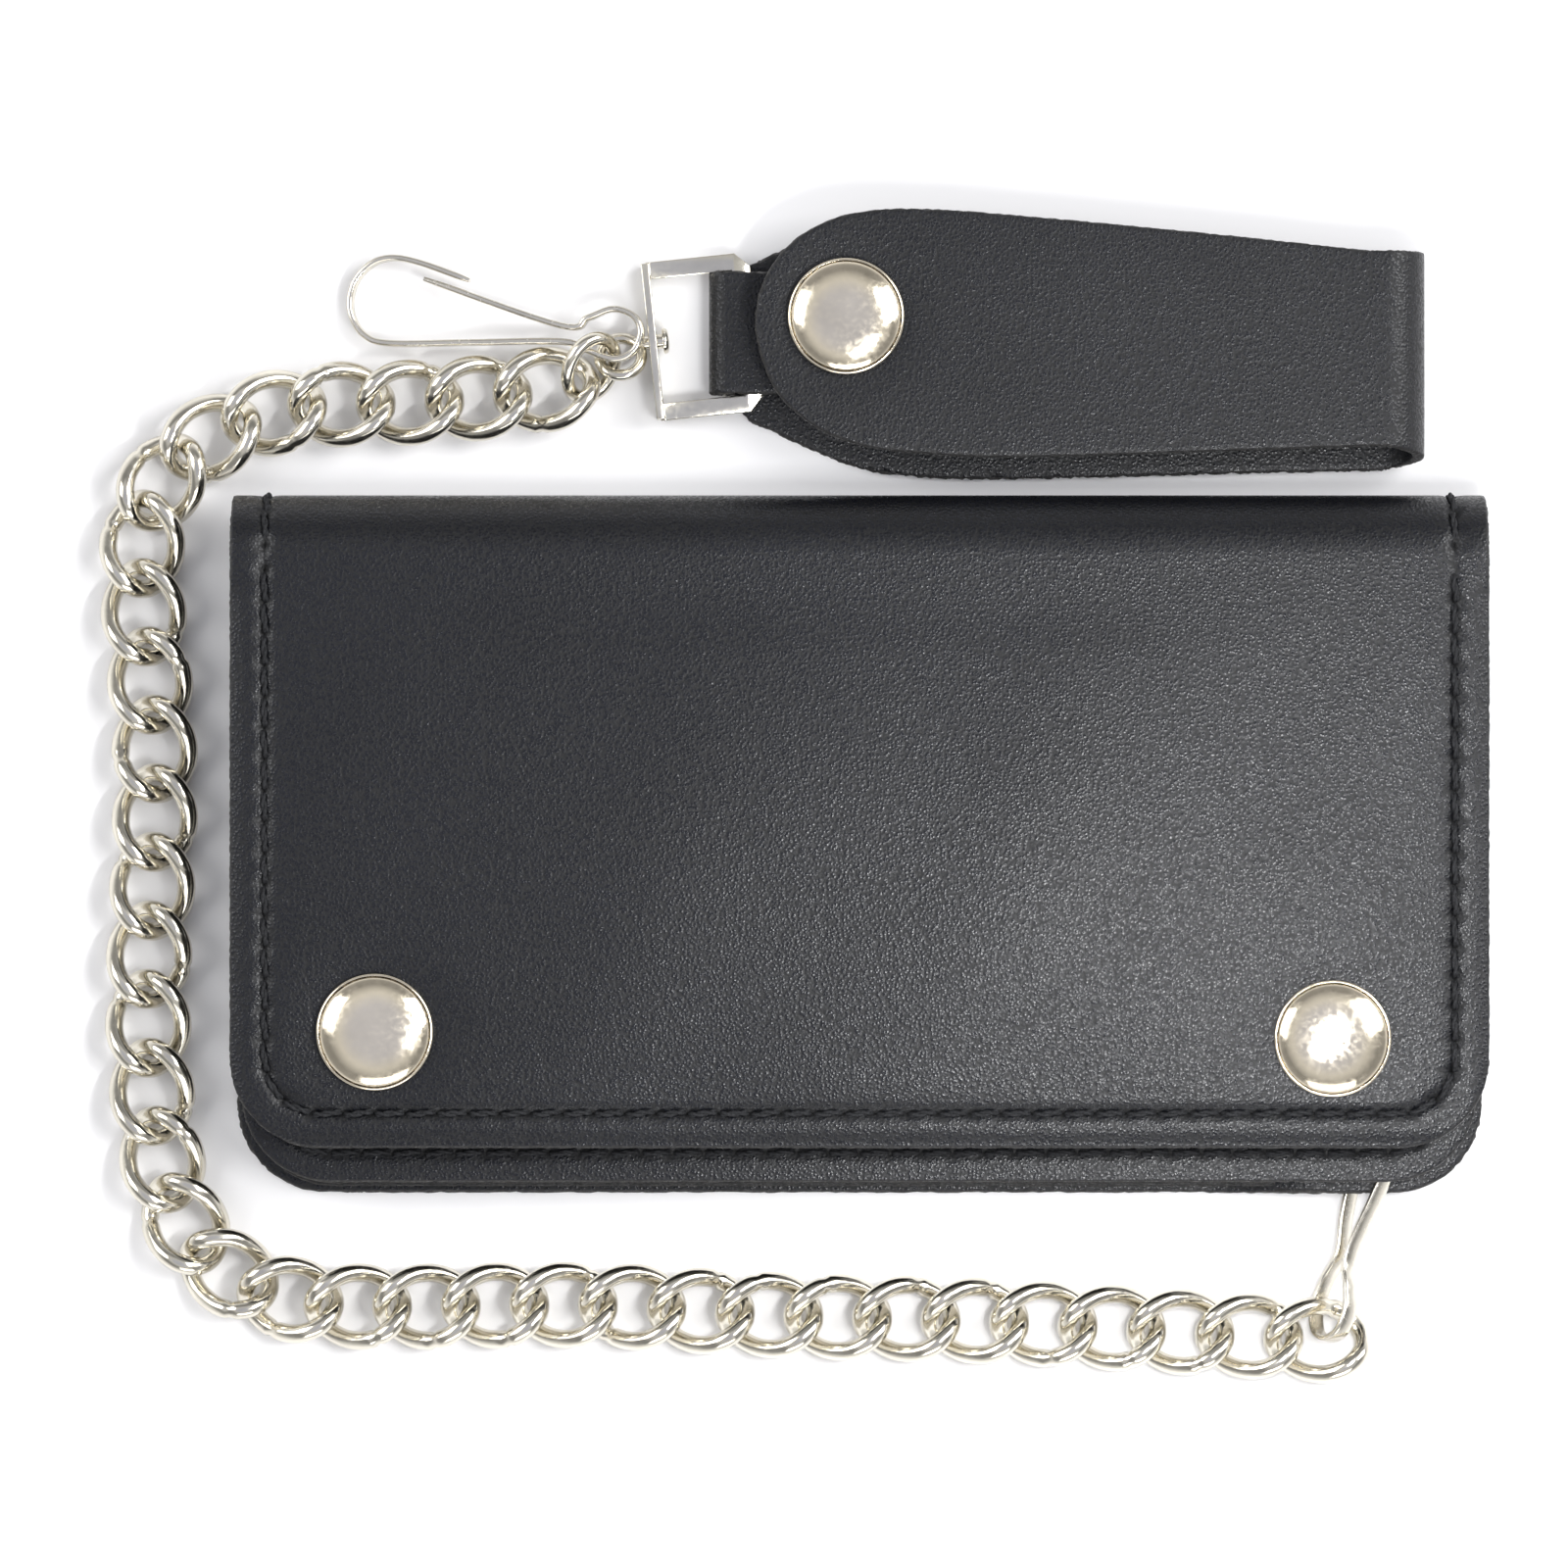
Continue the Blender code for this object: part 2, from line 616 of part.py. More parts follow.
def ring_frame():
    """A flat stamped frame whose left bar stands on edge and is pierced for the swivel."""
    left = FRAME_START + LEFT_BAR / 2
    right = FRAME_START + FRAME_LENGTH
    outer = FRAME_HALF_WIDTH
    inner = FRAME_WINDOW
    bar = right - FRAME_BAR
    outline = [
        (left, outer), (left, inner), (bar, inner), (bar, -inner), (left, -inner), (left, -outer),
        (right - FRAME_CHAMFER, -outer), (right, FRAME_CHAMFER - outer), (right, outer - FRAME_CHAMFER),
        (right - FRAME_CHAMFER, outer),
    ]
    flat = plate("frame_plate", [outline], 0, FRAME_PLATE, nickel("ring_frame"))
    flat.location = Vector(SHANK_START) + Vector((0, 0, FRAME_RAISE))
    flat.rotation_euler.z = FRAME_ANGLE
    frame = as_mesh(flat, "ring_frame")
    middle = Vector((left, 0, (LEFT_BAR_HIGH - LEFT_BAR_LOW) / 2))
    turn = Matrix.Rotation(FRAME_ANGLE, 3, "Z")
    bpy.ops.mesh.primitive_cube_add(
        size=1, location=Vector(SHANK_START) + turn @ middle, rotation=(0, 0, FRAME_ANGLE),
        scale=(LEFT_BAR, 2 * LEFT_BAR_HALF_LENGTH, LEFT_BAR_HIGH + LEFT_BAR_LOW))
    cut(frame, made_by_operator("left_bar"), "UNION")
    bpy.ops.mesh.primitive_cylinder_add(
        vertices=TURN_STEPS, radius=SHANK_RADIUS + CLEARANCE, depth=4 * LEFT_BAR,
        location=Vector(SHANK_START) + turn @ Vector((left, 0, 0)),
        rotation=(0, math.radians(90), FRAME_ANGLE))
    cut(frame, made_by_operator("shank_hole"))
    return frame


# Belt strap


def strap_lower_leaf():
    """One strip: the fold, the lower leaf, the tongue's turn round the bar and its run back to the snap."""
    stations = []
    for angle in np.linspace(90, -90, 9):
        share = (90 - angle) / 180
        x = FOLD_X + STRAP_RADIUS * math.cos(math.radians(angle))
        z = STRAP_TOP_Z / 2 + STRAP_RADIUS * math.sin(math.radians(angle))
        stations.append((x, z, 0.0549 - 0.003 * share, 0.0808))
    stations += [(x, STRAP_LEATHER / 2, low, high) for x, low, high in LOWER_LEAF]
    for angle in np.radians(np.linspace(-90, -270, 9)):
        stations.append((LOOP_X + LOOP_RADIUS * math.cos(angle), BAR[2] + LOOP_RADIUS * math.sin(angle),
                         *TONGUE))
    stations += [(x, BAR[2] + LOOP_RADIUS, *TONGUE) for x in (-0.010, TONGUE_END_X)]

    def place(share, station):
        x, z, low, high = station
        return Vector((x, low + share * (high - low), z))

    leaf = sheet("strap_lower_leaf", [0, 0.5, 1], stations, place, STRAP_LEATHER, leather("strap_lower"))
    hole = POST_RADIUS + CLEARANCE
    recess = STRAP_WASHER_RADIUS + CLEARANCE
    floor = STRAP_WASHER_Z + CLEARANCE
    profile = [(0, 0.008), (hole, 0.008), (hole, floor), (recess, floor), (recess, -0.001), (0, -0.001)]
    cut(leaf, turned("strap_stud_hole", profile, (*SNAP_STRAP, 0), group="cutters"))
    return leaf


def strap_upper_leaf():
    end = (0.0005, 0.070)
    half_length = 0.0142
    half_width = 0.0161
    tip = []
    for angle in np.radians(np.linspace(90, 270, 13)):
        tip.append((end[0] + half_length * math.cos(angle), end[1] + half_width * math.sin(angle)))
    hinge_x = FOLD_X - CLEARANCE
    outline = [
        (hinge_x, 0.0808), (0.016, 0.0864), *tip, (0.011, 0.0536), (0.022, 0.0533), (hinge_x, 0.0549),
    ]
    hole = circle(SNAP_STRAP, POST_RADIUS + CLEARANCE)
    bottom = STRAP_TOP_Z - STRAP_LEATHER
    return plate("strap_upper_leaf", [outline, hole], bottom, STRAP_LEATHER, leather("strap_upper"))


def main():
    clear_scene()
    back_cover()
    grommet()
    bill_divider()
    card_panels()
    flap_pieces = [*flap(), zip_tape(), zip_slider()]
    for side, place in (("left", SNAP_LEFT), ("right", SNAP_RIGHT)):
        flap_pieces.append(snap_cap(f"snap_cap_{side}", place, THICKNESS, ZIP_PANEL_Z))
        flap_pieces.append(snap_socket(f"snap_socket_{side}", place, ZIP_PANEL_Z))
        snap_stud(f"snap_stud_{side}", place, CARD_Z + CARD_LEATHER, CARD_Z - CLEARANCE, 0.004)
    attach(flap_pieces, add_pivot("flap_hinge", (0, HINGE_Y, HINGE_Z)))

    attach([wallet_hook()], add_pivot("grommet_pivot", (*GROMMET, WALLET_HOOK_PLACE[2])))
    chain()
    end_ring()
    attach([strap_hook()], add_pivot("strap_hook_pivot", STRAP_HOOK_PLACE))
    swivel_eye()
    ring_frame()

    underside = STRAP_TOP_Z - STRAP_LEATHER
    upper = [
        strap_upper_leaf(),
        snap_cap("strap_snap_cap", SNAP_STRAP, STRAP_TOP_Z, underside),
        snap_socket("strap_snap_socket", SNAP_STRAP, underside),
    ]
    attach(upper, add_pivot("strap_fold", (FOLD_X, SNAP_STRAP[1], STRAP_HINGE_Z)))
    tongue_top = BAR[2] + LOOP_RADIUS + STRAP_LEATHER / 2
    lower = [
        strap_lower_leaf(),
        snap_stud("strap_snap_stud", SNAP_STRAP, tongue_top, STRAP_WASHER_Z, STRAP_WASHER_RADIUS),
    ]
    attach(lower, add_pivot("frame_bar", BAR))


main()
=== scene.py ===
"""Looks of the chain wallet: leather, stitching, nickel hardware, chain, strap, light and camera.

The leather, thread, chain and hooks are modelled here, each in place of its CAD part. The other hardware is the
CAD part's own shape with softened edges. Lengths are metres, written as millimetres times MM.
"""

import json
import math
import random

import bmesh
import bpy
import numpy as np
from mathutils import Euler, Matrix, Vector


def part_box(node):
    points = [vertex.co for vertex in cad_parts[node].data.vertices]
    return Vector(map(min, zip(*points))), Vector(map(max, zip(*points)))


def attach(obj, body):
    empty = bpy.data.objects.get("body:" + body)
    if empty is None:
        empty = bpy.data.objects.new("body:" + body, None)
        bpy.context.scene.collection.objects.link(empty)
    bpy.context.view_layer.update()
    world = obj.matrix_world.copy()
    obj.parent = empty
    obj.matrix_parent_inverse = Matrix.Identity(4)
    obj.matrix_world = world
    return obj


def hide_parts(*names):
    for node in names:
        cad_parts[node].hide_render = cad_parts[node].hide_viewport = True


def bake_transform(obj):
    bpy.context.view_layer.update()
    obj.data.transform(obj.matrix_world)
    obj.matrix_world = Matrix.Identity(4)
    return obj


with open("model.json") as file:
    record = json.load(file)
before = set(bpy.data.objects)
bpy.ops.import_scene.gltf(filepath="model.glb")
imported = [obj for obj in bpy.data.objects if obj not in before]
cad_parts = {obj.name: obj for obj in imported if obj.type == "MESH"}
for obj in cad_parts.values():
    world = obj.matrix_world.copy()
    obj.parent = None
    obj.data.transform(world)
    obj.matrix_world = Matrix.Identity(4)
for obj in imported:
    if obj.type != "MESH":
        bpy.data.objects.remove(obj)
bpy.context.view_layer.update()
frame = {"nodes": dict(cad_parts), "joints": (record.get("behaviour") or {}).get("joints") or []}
MM = 0.001


def low(node):
    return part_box(node)[0]


def high(node):
    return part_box(node)[1]


# Driving places, all read from the CAD boxes
HALF = high("front_cover")[0]
TOP_Z = high("front_cover")[2]
FLAP_EDGE = low("front_cover")[1]
HINGE_Y = high("front_cover")[1] + 0.15 * MM
SPINE_Y = high("back_cover")[1]
COVER = TOP_Z - low("front_cover")[2]
BACK_EDGE = low("back_cover")[1]
CARD_EDGE = low("card_panel")[1]
CORNER = 12 * MM
STITCH_INSET = 4.3 * MM
STITCH_PITCH = 4.3 * MM
THREAD = 0.36 * MM


# Materials

class Nodes:
    """A short way to write a procedural material."""

    def __init__(self, name):
        self.material = bpy.data.materials.new(name)
        self.material.use_nodes = True
        self.tree = self.material.node_tree
        self.shader = self.tree.nodes["Principled BSDF"]
        self.place = self.tree.nodes.new("ShaderNodeTexCoord").outputs["Object"]

    def link(self, source, target):
        self.tree.links.new(source, target)

    def texture(self, kind, scale, **values):
        node = self.tree.nodes.new(f"ShaderNodeTex{kind}")
        self.link(self.place, node.inputs["Vector"])
        node.inputs["Scale"].default_value = scale
        for key, value in values.items():
            if key in node.inputs:
                node.inputs[key].default_value = value
            else:
                setattr(node, key, value)
        return node.outputs["Distance" if kind == "Voronoi" else 0]

    def ramp(self, source, stops):
        node = self.tree.nodes.new("ShaderNodeValToRGB")
        self.link(source, node.inputs[0])
        while len(node.color_ramp.elements) < len(stops):
            node.color_ramp.elements.new(0.5)
        for element, (place, color) in zip(node.color_ramp.elements, stops):
            element.position = place
            shade = color if isinstance(color, tuple) else (color,) * 3
            element.color = (*shade, 1)
        return node.outputs[0]

    def math(self, operation, a, b):
        node = self.tree.nodes.new("ShaderNodeMath")
        node.operation = operation
        for socket, value in zip(node.inputs, (a, b)):
            if isinstance(value, (int, float)):
                socket.default_value = value
            else:
                self.link(value, socket)
        return node.outputs[0]

    def mix(self, factor, a, b):
        node = self.tree.nodes.new("ShaderNodeMix")
        node.data_type = "RGBA"
        self.link(factor, node.inputs[0])
        for socket, value in ((node.inputs[6], a), (node.inputs[7], b)):
            if isinstance(value, tuple):
                socket.default_value = (*value, 1)
            else:
                self.link(value, socket)
        return node.outputs[2]

    def attribute(self, name):
        node = self.tree.nodes.new("ShaderNodeAttribute")
        node.attribute_name = name
        return node.outputs["Fac"]

    def bump(self, height, distance, strength=1.0, before=None):
        node = self.tree.nodes.new("ShaderNodeBump")
        node.inputs["Distance"].default_value = distance
        node.inputs["Strength"].default_value = strength
        self.link(height, node.inputs["Height"])
        if before is not None:
            self.link(before, node.inputs["Normal"])
        return node.outputs[0]

    def set(self, **values):
        for key, value in values.items():
            socket = self.shader.inputs[key.replace("_", " ")]
            if isinstance(value, bpy.types.NodeSocket):
                self.link(value, socket)
            else:
                socket.default_value = value
        return self.material


def leather_material(name, dark, light, roughness=0.22, grain=0.06, worn=(0.05, 0.047, 0.044)):
    """Pebble-grained leather: small raised cells with duller creases between them, the creases darkened by
    painted shade.
    """
    nodes = Nodes(name)
    cloud = nodes.texture("Noise", 45, Detail=4)
    fine = nodes.texture("Noise", 900, Detail=3)
    cell = nodes.texture("Voronoi", 2250, Randomness=1.0)
    fold = nodes.texture("Noise", 1900, Detail=3, Distortion=1.2)
    crease = nodes.texture("Noise", 330, Detail=5, Distortion=0.6)
    wear = nodes.attribute("wear")
    stitch_shade = nodes.attribute("stitch_shade")
    tone = nodes.math("ADD", nodes.math("MULTIPLY", cloud, 0.5), nodes.math("MULTIPLY", fold, 0.5))
    base = nodes.mix(nodes.ramp(tone, ((0.38, 0.0), (0.62, 1.0))), dark, light)
    crease_shade_and_dullness = nodes.ramp(cell, ((0.25, 0.0), (0.75, 1.0)))
    # painted shade: the base colour is darkened in the creases between the grain cells
    base = nodes.mix(crease_shade_and_dullness, base, tuple(channel * 0.35 for channel in dark))
    base = nodes.mix(nodes.math("MULTIPLY", wear, nodes.ramp(fine, ((0.3, 0.35), (0.7, 1.0)))), base, worn)
    # painted shade: near black in the stitch holes and along the stitch groove, where shade falls
    base = nodes.mix(stitch_shade, base, (0.0015, 0.0015, 0.0016))
    rough = nodes.math("ADD", nodes.math("MULTIPLY", crease_shade_and_dullness, 0.30), nodes.math("MULTIPLY", fold, 0.18))
    rough = nodes.math("ADD", rough, roughness - 0.1)
    rough = nodes.math("ADD", rough, nodes.math("MULTIPLY", wear, 0.35))
    rough = nodes.math("ADD", rough, nodes.math("MULTIPLY", stitch_shade, 0.35))
    skin = nodes.math("SUBTRACT", nodes.math("MULTIPLY", fold, 0.8), cell)
    normal = nodes.bump(crease, 0.012 * MM, 0.6)
    normal = nodes.bump(skin, grain * MM, 1.0, normal)
    return nodes.set(Base_Color=base, Roughness=rough, Normal=normal, Specular_IOR_Level=0.42)


def nickel_material(name, color, roughness=0.15, scratches=0.5):
    nodes = Nodes(name)
    cloud = nodes.texture("Noise", 160, Detail=4)
    spots = nodes.texture("Noise", 1500, Detail=2)
    tint = tuple(channel * 0.82 for channel in color)
    base = nodes.mix(nodes.ramp(cloud, ((0.3, 0.0), (0.75, 1.0))), color, tint)
    rough = nodes.ramp(spots, ((0.3, roughness - 0.05), (0.8, roughness + 0.12)))
    normal = nodes.bump(cloud, 0.02 * MM, 0.4 * scratches)
    normal = nodes.bump(spots, 0.012 * MM, scratches, normal)
    return nodes.set(Base_Color=base, Metallic=1.0, Roughness=rough, Normal=normal)


def thread_material(name):
    nodes = Nodes(name)
    fibre = nodes.texture("Noise", 3000, Detail=4)
    base = nodes.ramp(fibre, ((0.3, (0.006, 0.006, 0.007)), (0.75, (0.030, 0.031, 0.034))))
    normal = nodes.bump(fibre, 0.06 * MM, 0.8)
    return nodes.set(Base_Color=base, Roughness=0.7, Normal=normal, Specular_IOR_Level=0.22)


def woven_material(name):
    nodes = Nodes(name)
    across = nodes.texture("Wave", 900, bands_direction="X", Distortion=0.4)
    along = nodes.texture("Wave", 700, bands_direction="Y", Distortion=0.4)
    weave = nodes.math("MULTIPLY", across, along)
    base = nodes.ramp(weave, ((0.1, (0.008, 0.008, 0.009)), (0.8, (0.032, 0.032, 0.034))))
    normal = nodes.bump(weave, 0.08 * MM, 0.9)
    return nodes.set(Base_Color=base, Roughness=0.8, Normal=normal, Sheen_Weight=0.3)


COVER_LEATHER = leather_material("cover_leather", (0.0034, 0.0038, 0.0060), (0.0070, 0.0077, 0.0112))
LINING_LEATHER = leather_material("lining_leather", (0.0060, 0.0060, 0.0066), (0.0112, 0.0112, 0.0122),
                                  roughness=0.42, grain=0.05)
STRAP_LEATHER = leather_material("strap_leather", (0.0036, 0.0040, 0.0060), (0.0072, 0.0078, 0.0110),
                                 roughness=0.26, grain=0.065, worn=(0.055, 0.052, 0.049))
CHAIN_NICKEL = nickel_material("chain_nickel", (0.78, 0.74, 0.64), 0.15)
SNAP_NICKEL = nickel_material("snap_nickel", (0.98, 0.88, 0.70), 0.13, 0.3)
HOOK_NICKEL = nickel_material("hook_nickel", (0.78, 0.74, 0.65), 0.2, 0.7)
ZIP_METAL = nickel_material("zip_metal", (0.66, 0.64, 0.60), 0.24)
THREAD_BLACK = thread_material("thread")
ZIP_TAPE = woven_material("zip_tape")


# Mesh helpers

def add_to_scene(name, data, material):
    """An object made from a whole mesh, smooth all over."""
    data.materials.append(material)
    data.polygons.foreach_set("use_smooth", [True] * len(data.polygons))
    piece = bpy.data.objects.new(name, data)
    bpy.context.scene.collection.objects.link(piece)
    return piece


def new_piece(name, points, faces, material):
    data = bpy.data.meshes.new(name)
    data.from_pydata([tuple(point) for point in points], [], faces)
    data.validate()
    data.update()
    return add_to_scene(name, data, material)


def settle(piece, body, nodes=()):
    """Rides a piece on its body and hides the CAD nodes that it stands for."""
    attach(piece, body)
    if nodes:
        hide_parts(*nodes)
    return piece


def fix_normals(piece):
    """Turns every face outward."""
    mesh = bmesh.new()
    mesh.from_mesh(piece.data)
    bmesh.ops.recalc_face_normals(mesh, faces=mesh.faces)
    mesh.to_mesh(piece.data)
    mesh.free()


def grid_faces(rows, columns, wrap_rows=False, wrap_columns=False):
    """Four-sided faces over a grid of points kept row by row."""
    faces = []
    for i in range(rows if wrap_rows else rows - 1):
        for j in range(columns if wrap_columns else columns - 1):
            row, next_row = i * columns, (i + 1) % rows * columns
            next_j = (j + 1) % columns
            faces.append((row + j, row + next_j, next_row + next_j, next_row + j))
    return faces


def smooth_curve(points, steps, closed=False):
    """A Catmull-Rom curve through the points."""
    points = [np.array(point, float) for point in points]
    if closed:
        ring = [points[-1], *points, points[0], points[1]]
    else:
        ring = [2 * points[0] - points[1], *points, 2 * points[-1] - points[-2]]
    curve = []
    for before, start, end, after in zip(ring, ring[1:], ring[2:], ring[3:]):
        for t in np.arange(steps) / steps:
            linear = (end - before) * t
            square = (2 * before - 5 * start + 4 * end - after) * t**2
            cube = (3 * start - before - 3 * end + after) * t**3
            curve.append(start + 0.5 * (linear + square + cube))
    return np.array(curve if closed else [*curve, points[-1]])


def even_steps(points, count):
    """count points at equal steps along a polyline, ends included."""
    points = np.array(points)
    travelled = np.concatenate([[0], np.cumsum(np.linalg.norm(np.diff(points, axis=0), axis=1))])
    steps = np.linspace(0, travelled[-1], count)
    return np.stack([np.interp(steps, travelled, points[:, k]) for k in range(points.shape[1])], 1)


def tube(points, radii, sides, closed=False, first=(0, 0, 1)):
    """Points and faces of a round wire along points, with frames carried along without twist."""
    points = np.array(points)
    count = len(points)
    radii = np.broadcast_to(radii, count)
    ahead = np.roll(points, -1, 0) - np.roll(points, 1, 0)
    if not closed:
        ahead[0] = points[1] - points[0]
        ahead[-1] = points[-1] - points[-2]
    ahead /= np.linalg.norm(ahead, axis=1)[:, None]
    normal = np.array(first, float)
    ring = []
    normals = []
    for direction in ahead:
        normal = normal - direction * (normal @ direction)
        normal /= np.linalg.norm(normal)
        normals.append(normal)
    drift = 0
    if closed:
        last = normals[-1] - ahead[0] * (normals[-1] @ ahead[0])
        side = np.cross(ahead[0], normals[0])
        drift = math.atan2(last @ side, last @ normals[0])
    for i, (place, direction, normal) in enumerate(zip(points, ahead, normals)):
        across = np.cross(direction, normal)
        for side in range(sides):
            turn = 2 * math.pi * side / sides - drift * i / count
            ring.append(place + radii[i] * (math.cos(turn) * normal + math.sin(turn) * across))
    faces = grid_faces(count, sides, closed, True)
    if not closed:
        faces.append(tuple(range(sides)))
        faces.append(tuple(range((count - 1) * sides, count * sides))[::-1])
    return ring, [face[::-1] for face in faces]


def lathe(profile, place, steps=64):
    """Points and faces of a turned shape from its (radius, height) profile, from top axis to bottom axis."""
    points = []
    inner = [pair for pair in profile if pair[0] > 0]
    for radius, height in inner:
        for turn in np.arange(steps) * 2 * math.pi / steps:
            points.append((place[0] + radius * math.cos(turn), place[1] + radius * math.sin(turn), height))
    faces = [face[::-1] for face in grid_faces(len(inner), steps, False, True)]
    if profile[0][0] == 0:
        points.append((place[0], place[1], profile[0][1]))
        faces += [(len(points) - 1, j, (j + 1) % steps) for j in range(steps)]
    if profile[-1][0] == 0:
        points.append((place[0], place[1], profile[-1][1]))
        start = (len(inner) - 1) * steps
        faces += [(len(points) - 1, start + (j + 1) % steps, start + j) for j in range(steps)]
    return points, faces


def join(shapes):
    """One list of points and faces from several."""
    points = []
    faces = []
    for shape_points, shape_faces in shapes:
        start = len(points)
        points += [tuple(point) for point in shape_points]
        faces += [tuple(start + index for index in face) for face in shape_faces]
    return points, faces


def ease(value, start, end):
    """0 up to start, 1 from end on, and a smooth step between."""
    t = np.clip((value - start) / (end - start), 0, 1)
    return t * t * (3 - 2 * t)


def noise(x, y, scale, seed):
    """Smooth repeatable noise from a few sines, about -1 to 1."""
    rng = random.Random(seed)
    total = 0
    for _ in range(6):
        angle = rng.uniform(0, 2 * math.pi)
        wave = rng.uniform(0.6, 1.5) * 2 * math.pi / scale
        phase = rng.uniform(0, 2 * math.pi)
        total = total + np.sin((x * math.cos(angle) + y * math.sin(angle)) * wave + phase)
    return total / 3.2


def leather_sheet(name, middle, thickness, edge, material, wear, pits=None, ragged=0.05 * MM):
    """A leather panel from a grid of middle points (rows x columns x 3), with rounded, worn edges.

    The rim is a half-round of its own, so the cut edge reads as leather and not as a plate. wear gives the
    strength of the lighter cut edge, pits is painted shade that darkens the stitch holes and their groove, and
    ragged roughens the rim."""
    rows, columns, _ = middle.shape
    along = np.gradient(middle, axis=0)
    aside = np.gradient(middle, axis=1)
    normal = np.cross(aside, along)
    normal /= np.linalg.norm(normal, axis=2)[:, :, None]
    if normal[rows // 2, columns // 2, 2] < 0:
        normal = -normal
    top = middle + normal * thickness / 2
    bottom = middle - normal * thickness / 2
    points = [*top.reshape(-1, 3), *bottom.reshape(-1, 3)]
    shade = [0.0] * (2 * rows * columns)
    faces = grid_faces(rows, columns)
    offset = rows * columns
    faces += [tuple(offset + index for index in face[::-1]) for face in grid_faces(rows, columns)]
    rim = [(0, j) for j in range(columns)]
    rim += [(i, columns - 1) for i in range(1, rows)]
    rim += [(rows - 1, j) for j in range(columns - 2, -1, -1)]
    rim += [(i, 0) for i in range(rows - 2, 0, -1)]
    count = len(rim)
    loop = np.array([middle[i, j] for i, j in rim])
    direction = np.roll(loop, -1, 0) - np.roll(loop, 1, 0)
    direction /= np.linalg.norm(direction, axis=1)[:, None]
    up = np.array([normal[i, j] for i, j in rim])
    out = np.cross(direction, up)
    center = middle.reshape(-1, 3).mean(0)
    if ((loop - center) * out).sum() < 0:
        out = -out
    layers = []
    rim_height = thickness / 2 / math.sin(math.radians(62))
    for angle in (55, 20, -20, -55):
        bend = math.radians(angle)
        layers.append(len(points))
        fray = np.random.default_rng(count + angle + 90).uniform(-ragged, ragged, count)[:, None]
        ring = loop + out * (edge * math.cos(bend) + fray) + up * rim_height * math.sin(bend)
        points += list(ring)
        shade += [wear * (0.55 if abs(angle) > 40 else 1.0)] * count
    top_rim = [i * columns + j for i, j in rim]
    rings = [top_rim] + [[start + k for k in range(count)] for start in layers]
    rings.append([offset + index for index in top_rim])
    for upper, lower in zip(rings, rings[1:]):
        for k in range(count):
            m = (k + 1) % count
            faces.append((upper[k], upper[m], lower[m], lower[k]))
    piece = new_piece(name, points, faces, material)
    attribute = piece.data.attributes.new("wear", "FLOAT", "POINT")
    attribute.data.foreach_set("value", shade)
    # painted shade of the stitch holes and groove, on the top face only
    dark = np.zeros(len(shade), np.float32)
    if pits is not None:
        dark[:rows * columns] = pits.reshape(-1)
    piece.data.attributes.new("stitch_shade", "FLOAT", "POINT").data.foreach_set("value", dark)
    fix_normals(piece)
    return piece


# Leather of the wallet

def shares(half, line, fine=0.38 * MM, coarse=1.1 * MM):
    """Places across a panel from -1 to 1, close together beside its stitch lines."""
    places = [-half]
    while places[-1] < half:
        near = abs(abs(places[-1]) - line) < 1.7 * MM
        places.append(places[-1] + (fine if near else coarse))
    places = np.array(places)
    return 2 * (places - places[0]) / (places[-1] - places[0]) - 1


def outline_grid(half, edge_y, top_y, inset, step=0.5 * MM):
    """Rows of (x, y) over a panel whose two free corners are round."""
    start = math.acos(1 - 0.25)
    ys = list(edge_y + CORNER * (1 - np.cos(np.linspace(0, start, 9))))
    ys += list(np.arange(ys[-1] + 0.38 * MM, edge_y + CORNER + 1 * MM, 0.38 * MM))
    ys += list(np.linspace(ys[-1], top_y, max(3, int((top_y - ys[-1]) / step)))[1:])
    share = shares(half, half - inset)
    rows = []
    for y in ys:
        rise = max(CORNER - (y - edge_y), 0)
        width = half - CORNER + math.sqrt(max(CORNER**2 - rise**2, 0))
        rows.append(np.stack([share * width, np.full(len(share), y)], 1))
    return np.array(rows)


def path_frames(points, pitch, offset=0.5):
    """Places and directions at equal pitch along a polyline."""
    points = np.array(points)
    steps = np.linalg.norm(np.diff(points, axis=0), axis=1)
    travelled = np.concatenate([[0], np.cumsum(steps)])
    count = max(1, round(travelled[-1] / pitch))
    at = (np.arange(count) + offset) * travelled[-1] / count
    places = np.stack([np.interp(at, travelled, points[:, k]) for k in range(3)], 1)
    nearby = np.stack([np.interp(at - 0.05 * MM, travelled, points[:, k]) for k in range(3)], 1)
    directions = places - nearby
    directions /= np.maximum(np.linalg.norm(directions, axis=1), 1e-9)[:, None]
    return places, directions


def stitch_shape(place, direction, up, rng, length=3.9 * MM):
    """One stitch of two-ply thread: two strands wound round each other, dipping into their holes."""
    across = np.cross(up, direction)
    direction = direction + across * (0.12 + rng.uniform(-0.06, 0.06))
    shapes = []
    for strand in (0, 1):
        line = []
        radii = []
        for t in np.linspace(-1, 1, 15):
            wind = t * 3.4 + strand * math.pi
            lift = 0.36 * MM - 1.1 * MM * abs(t) ** 6
            point = place + direction * t * length / 2 + up * (lift + 0.15 * MM * math.sin(wind))
            line.append(point + across * 0.2 * MM * math.cos(wind))
            radii.append(THREAD * (0.74 if abs(t) < 0.9 else 0.55))
        shapes.append(tube(line, radii, 7, first=tuple(up)))
    return join(shapes)


def stitches(name, points, up, body, pitch=STITCH_PITCH, length=3.9 * MM):
    """A row of stitches along a line. up is one direction, or a function of the place."""
    rng = random.Random(name)
    places, directions = path_frames(points, pitch)
    shapes = []
    for place, direction in zip(places, directions):
        rise = np.array(up(place) if callable(up) else up, float)
        shapes.append(stitch_shape(place, direction, rise, rng, length))
    return settle(new_piece(name, *join(shapes), THREAD_BLACK), body)


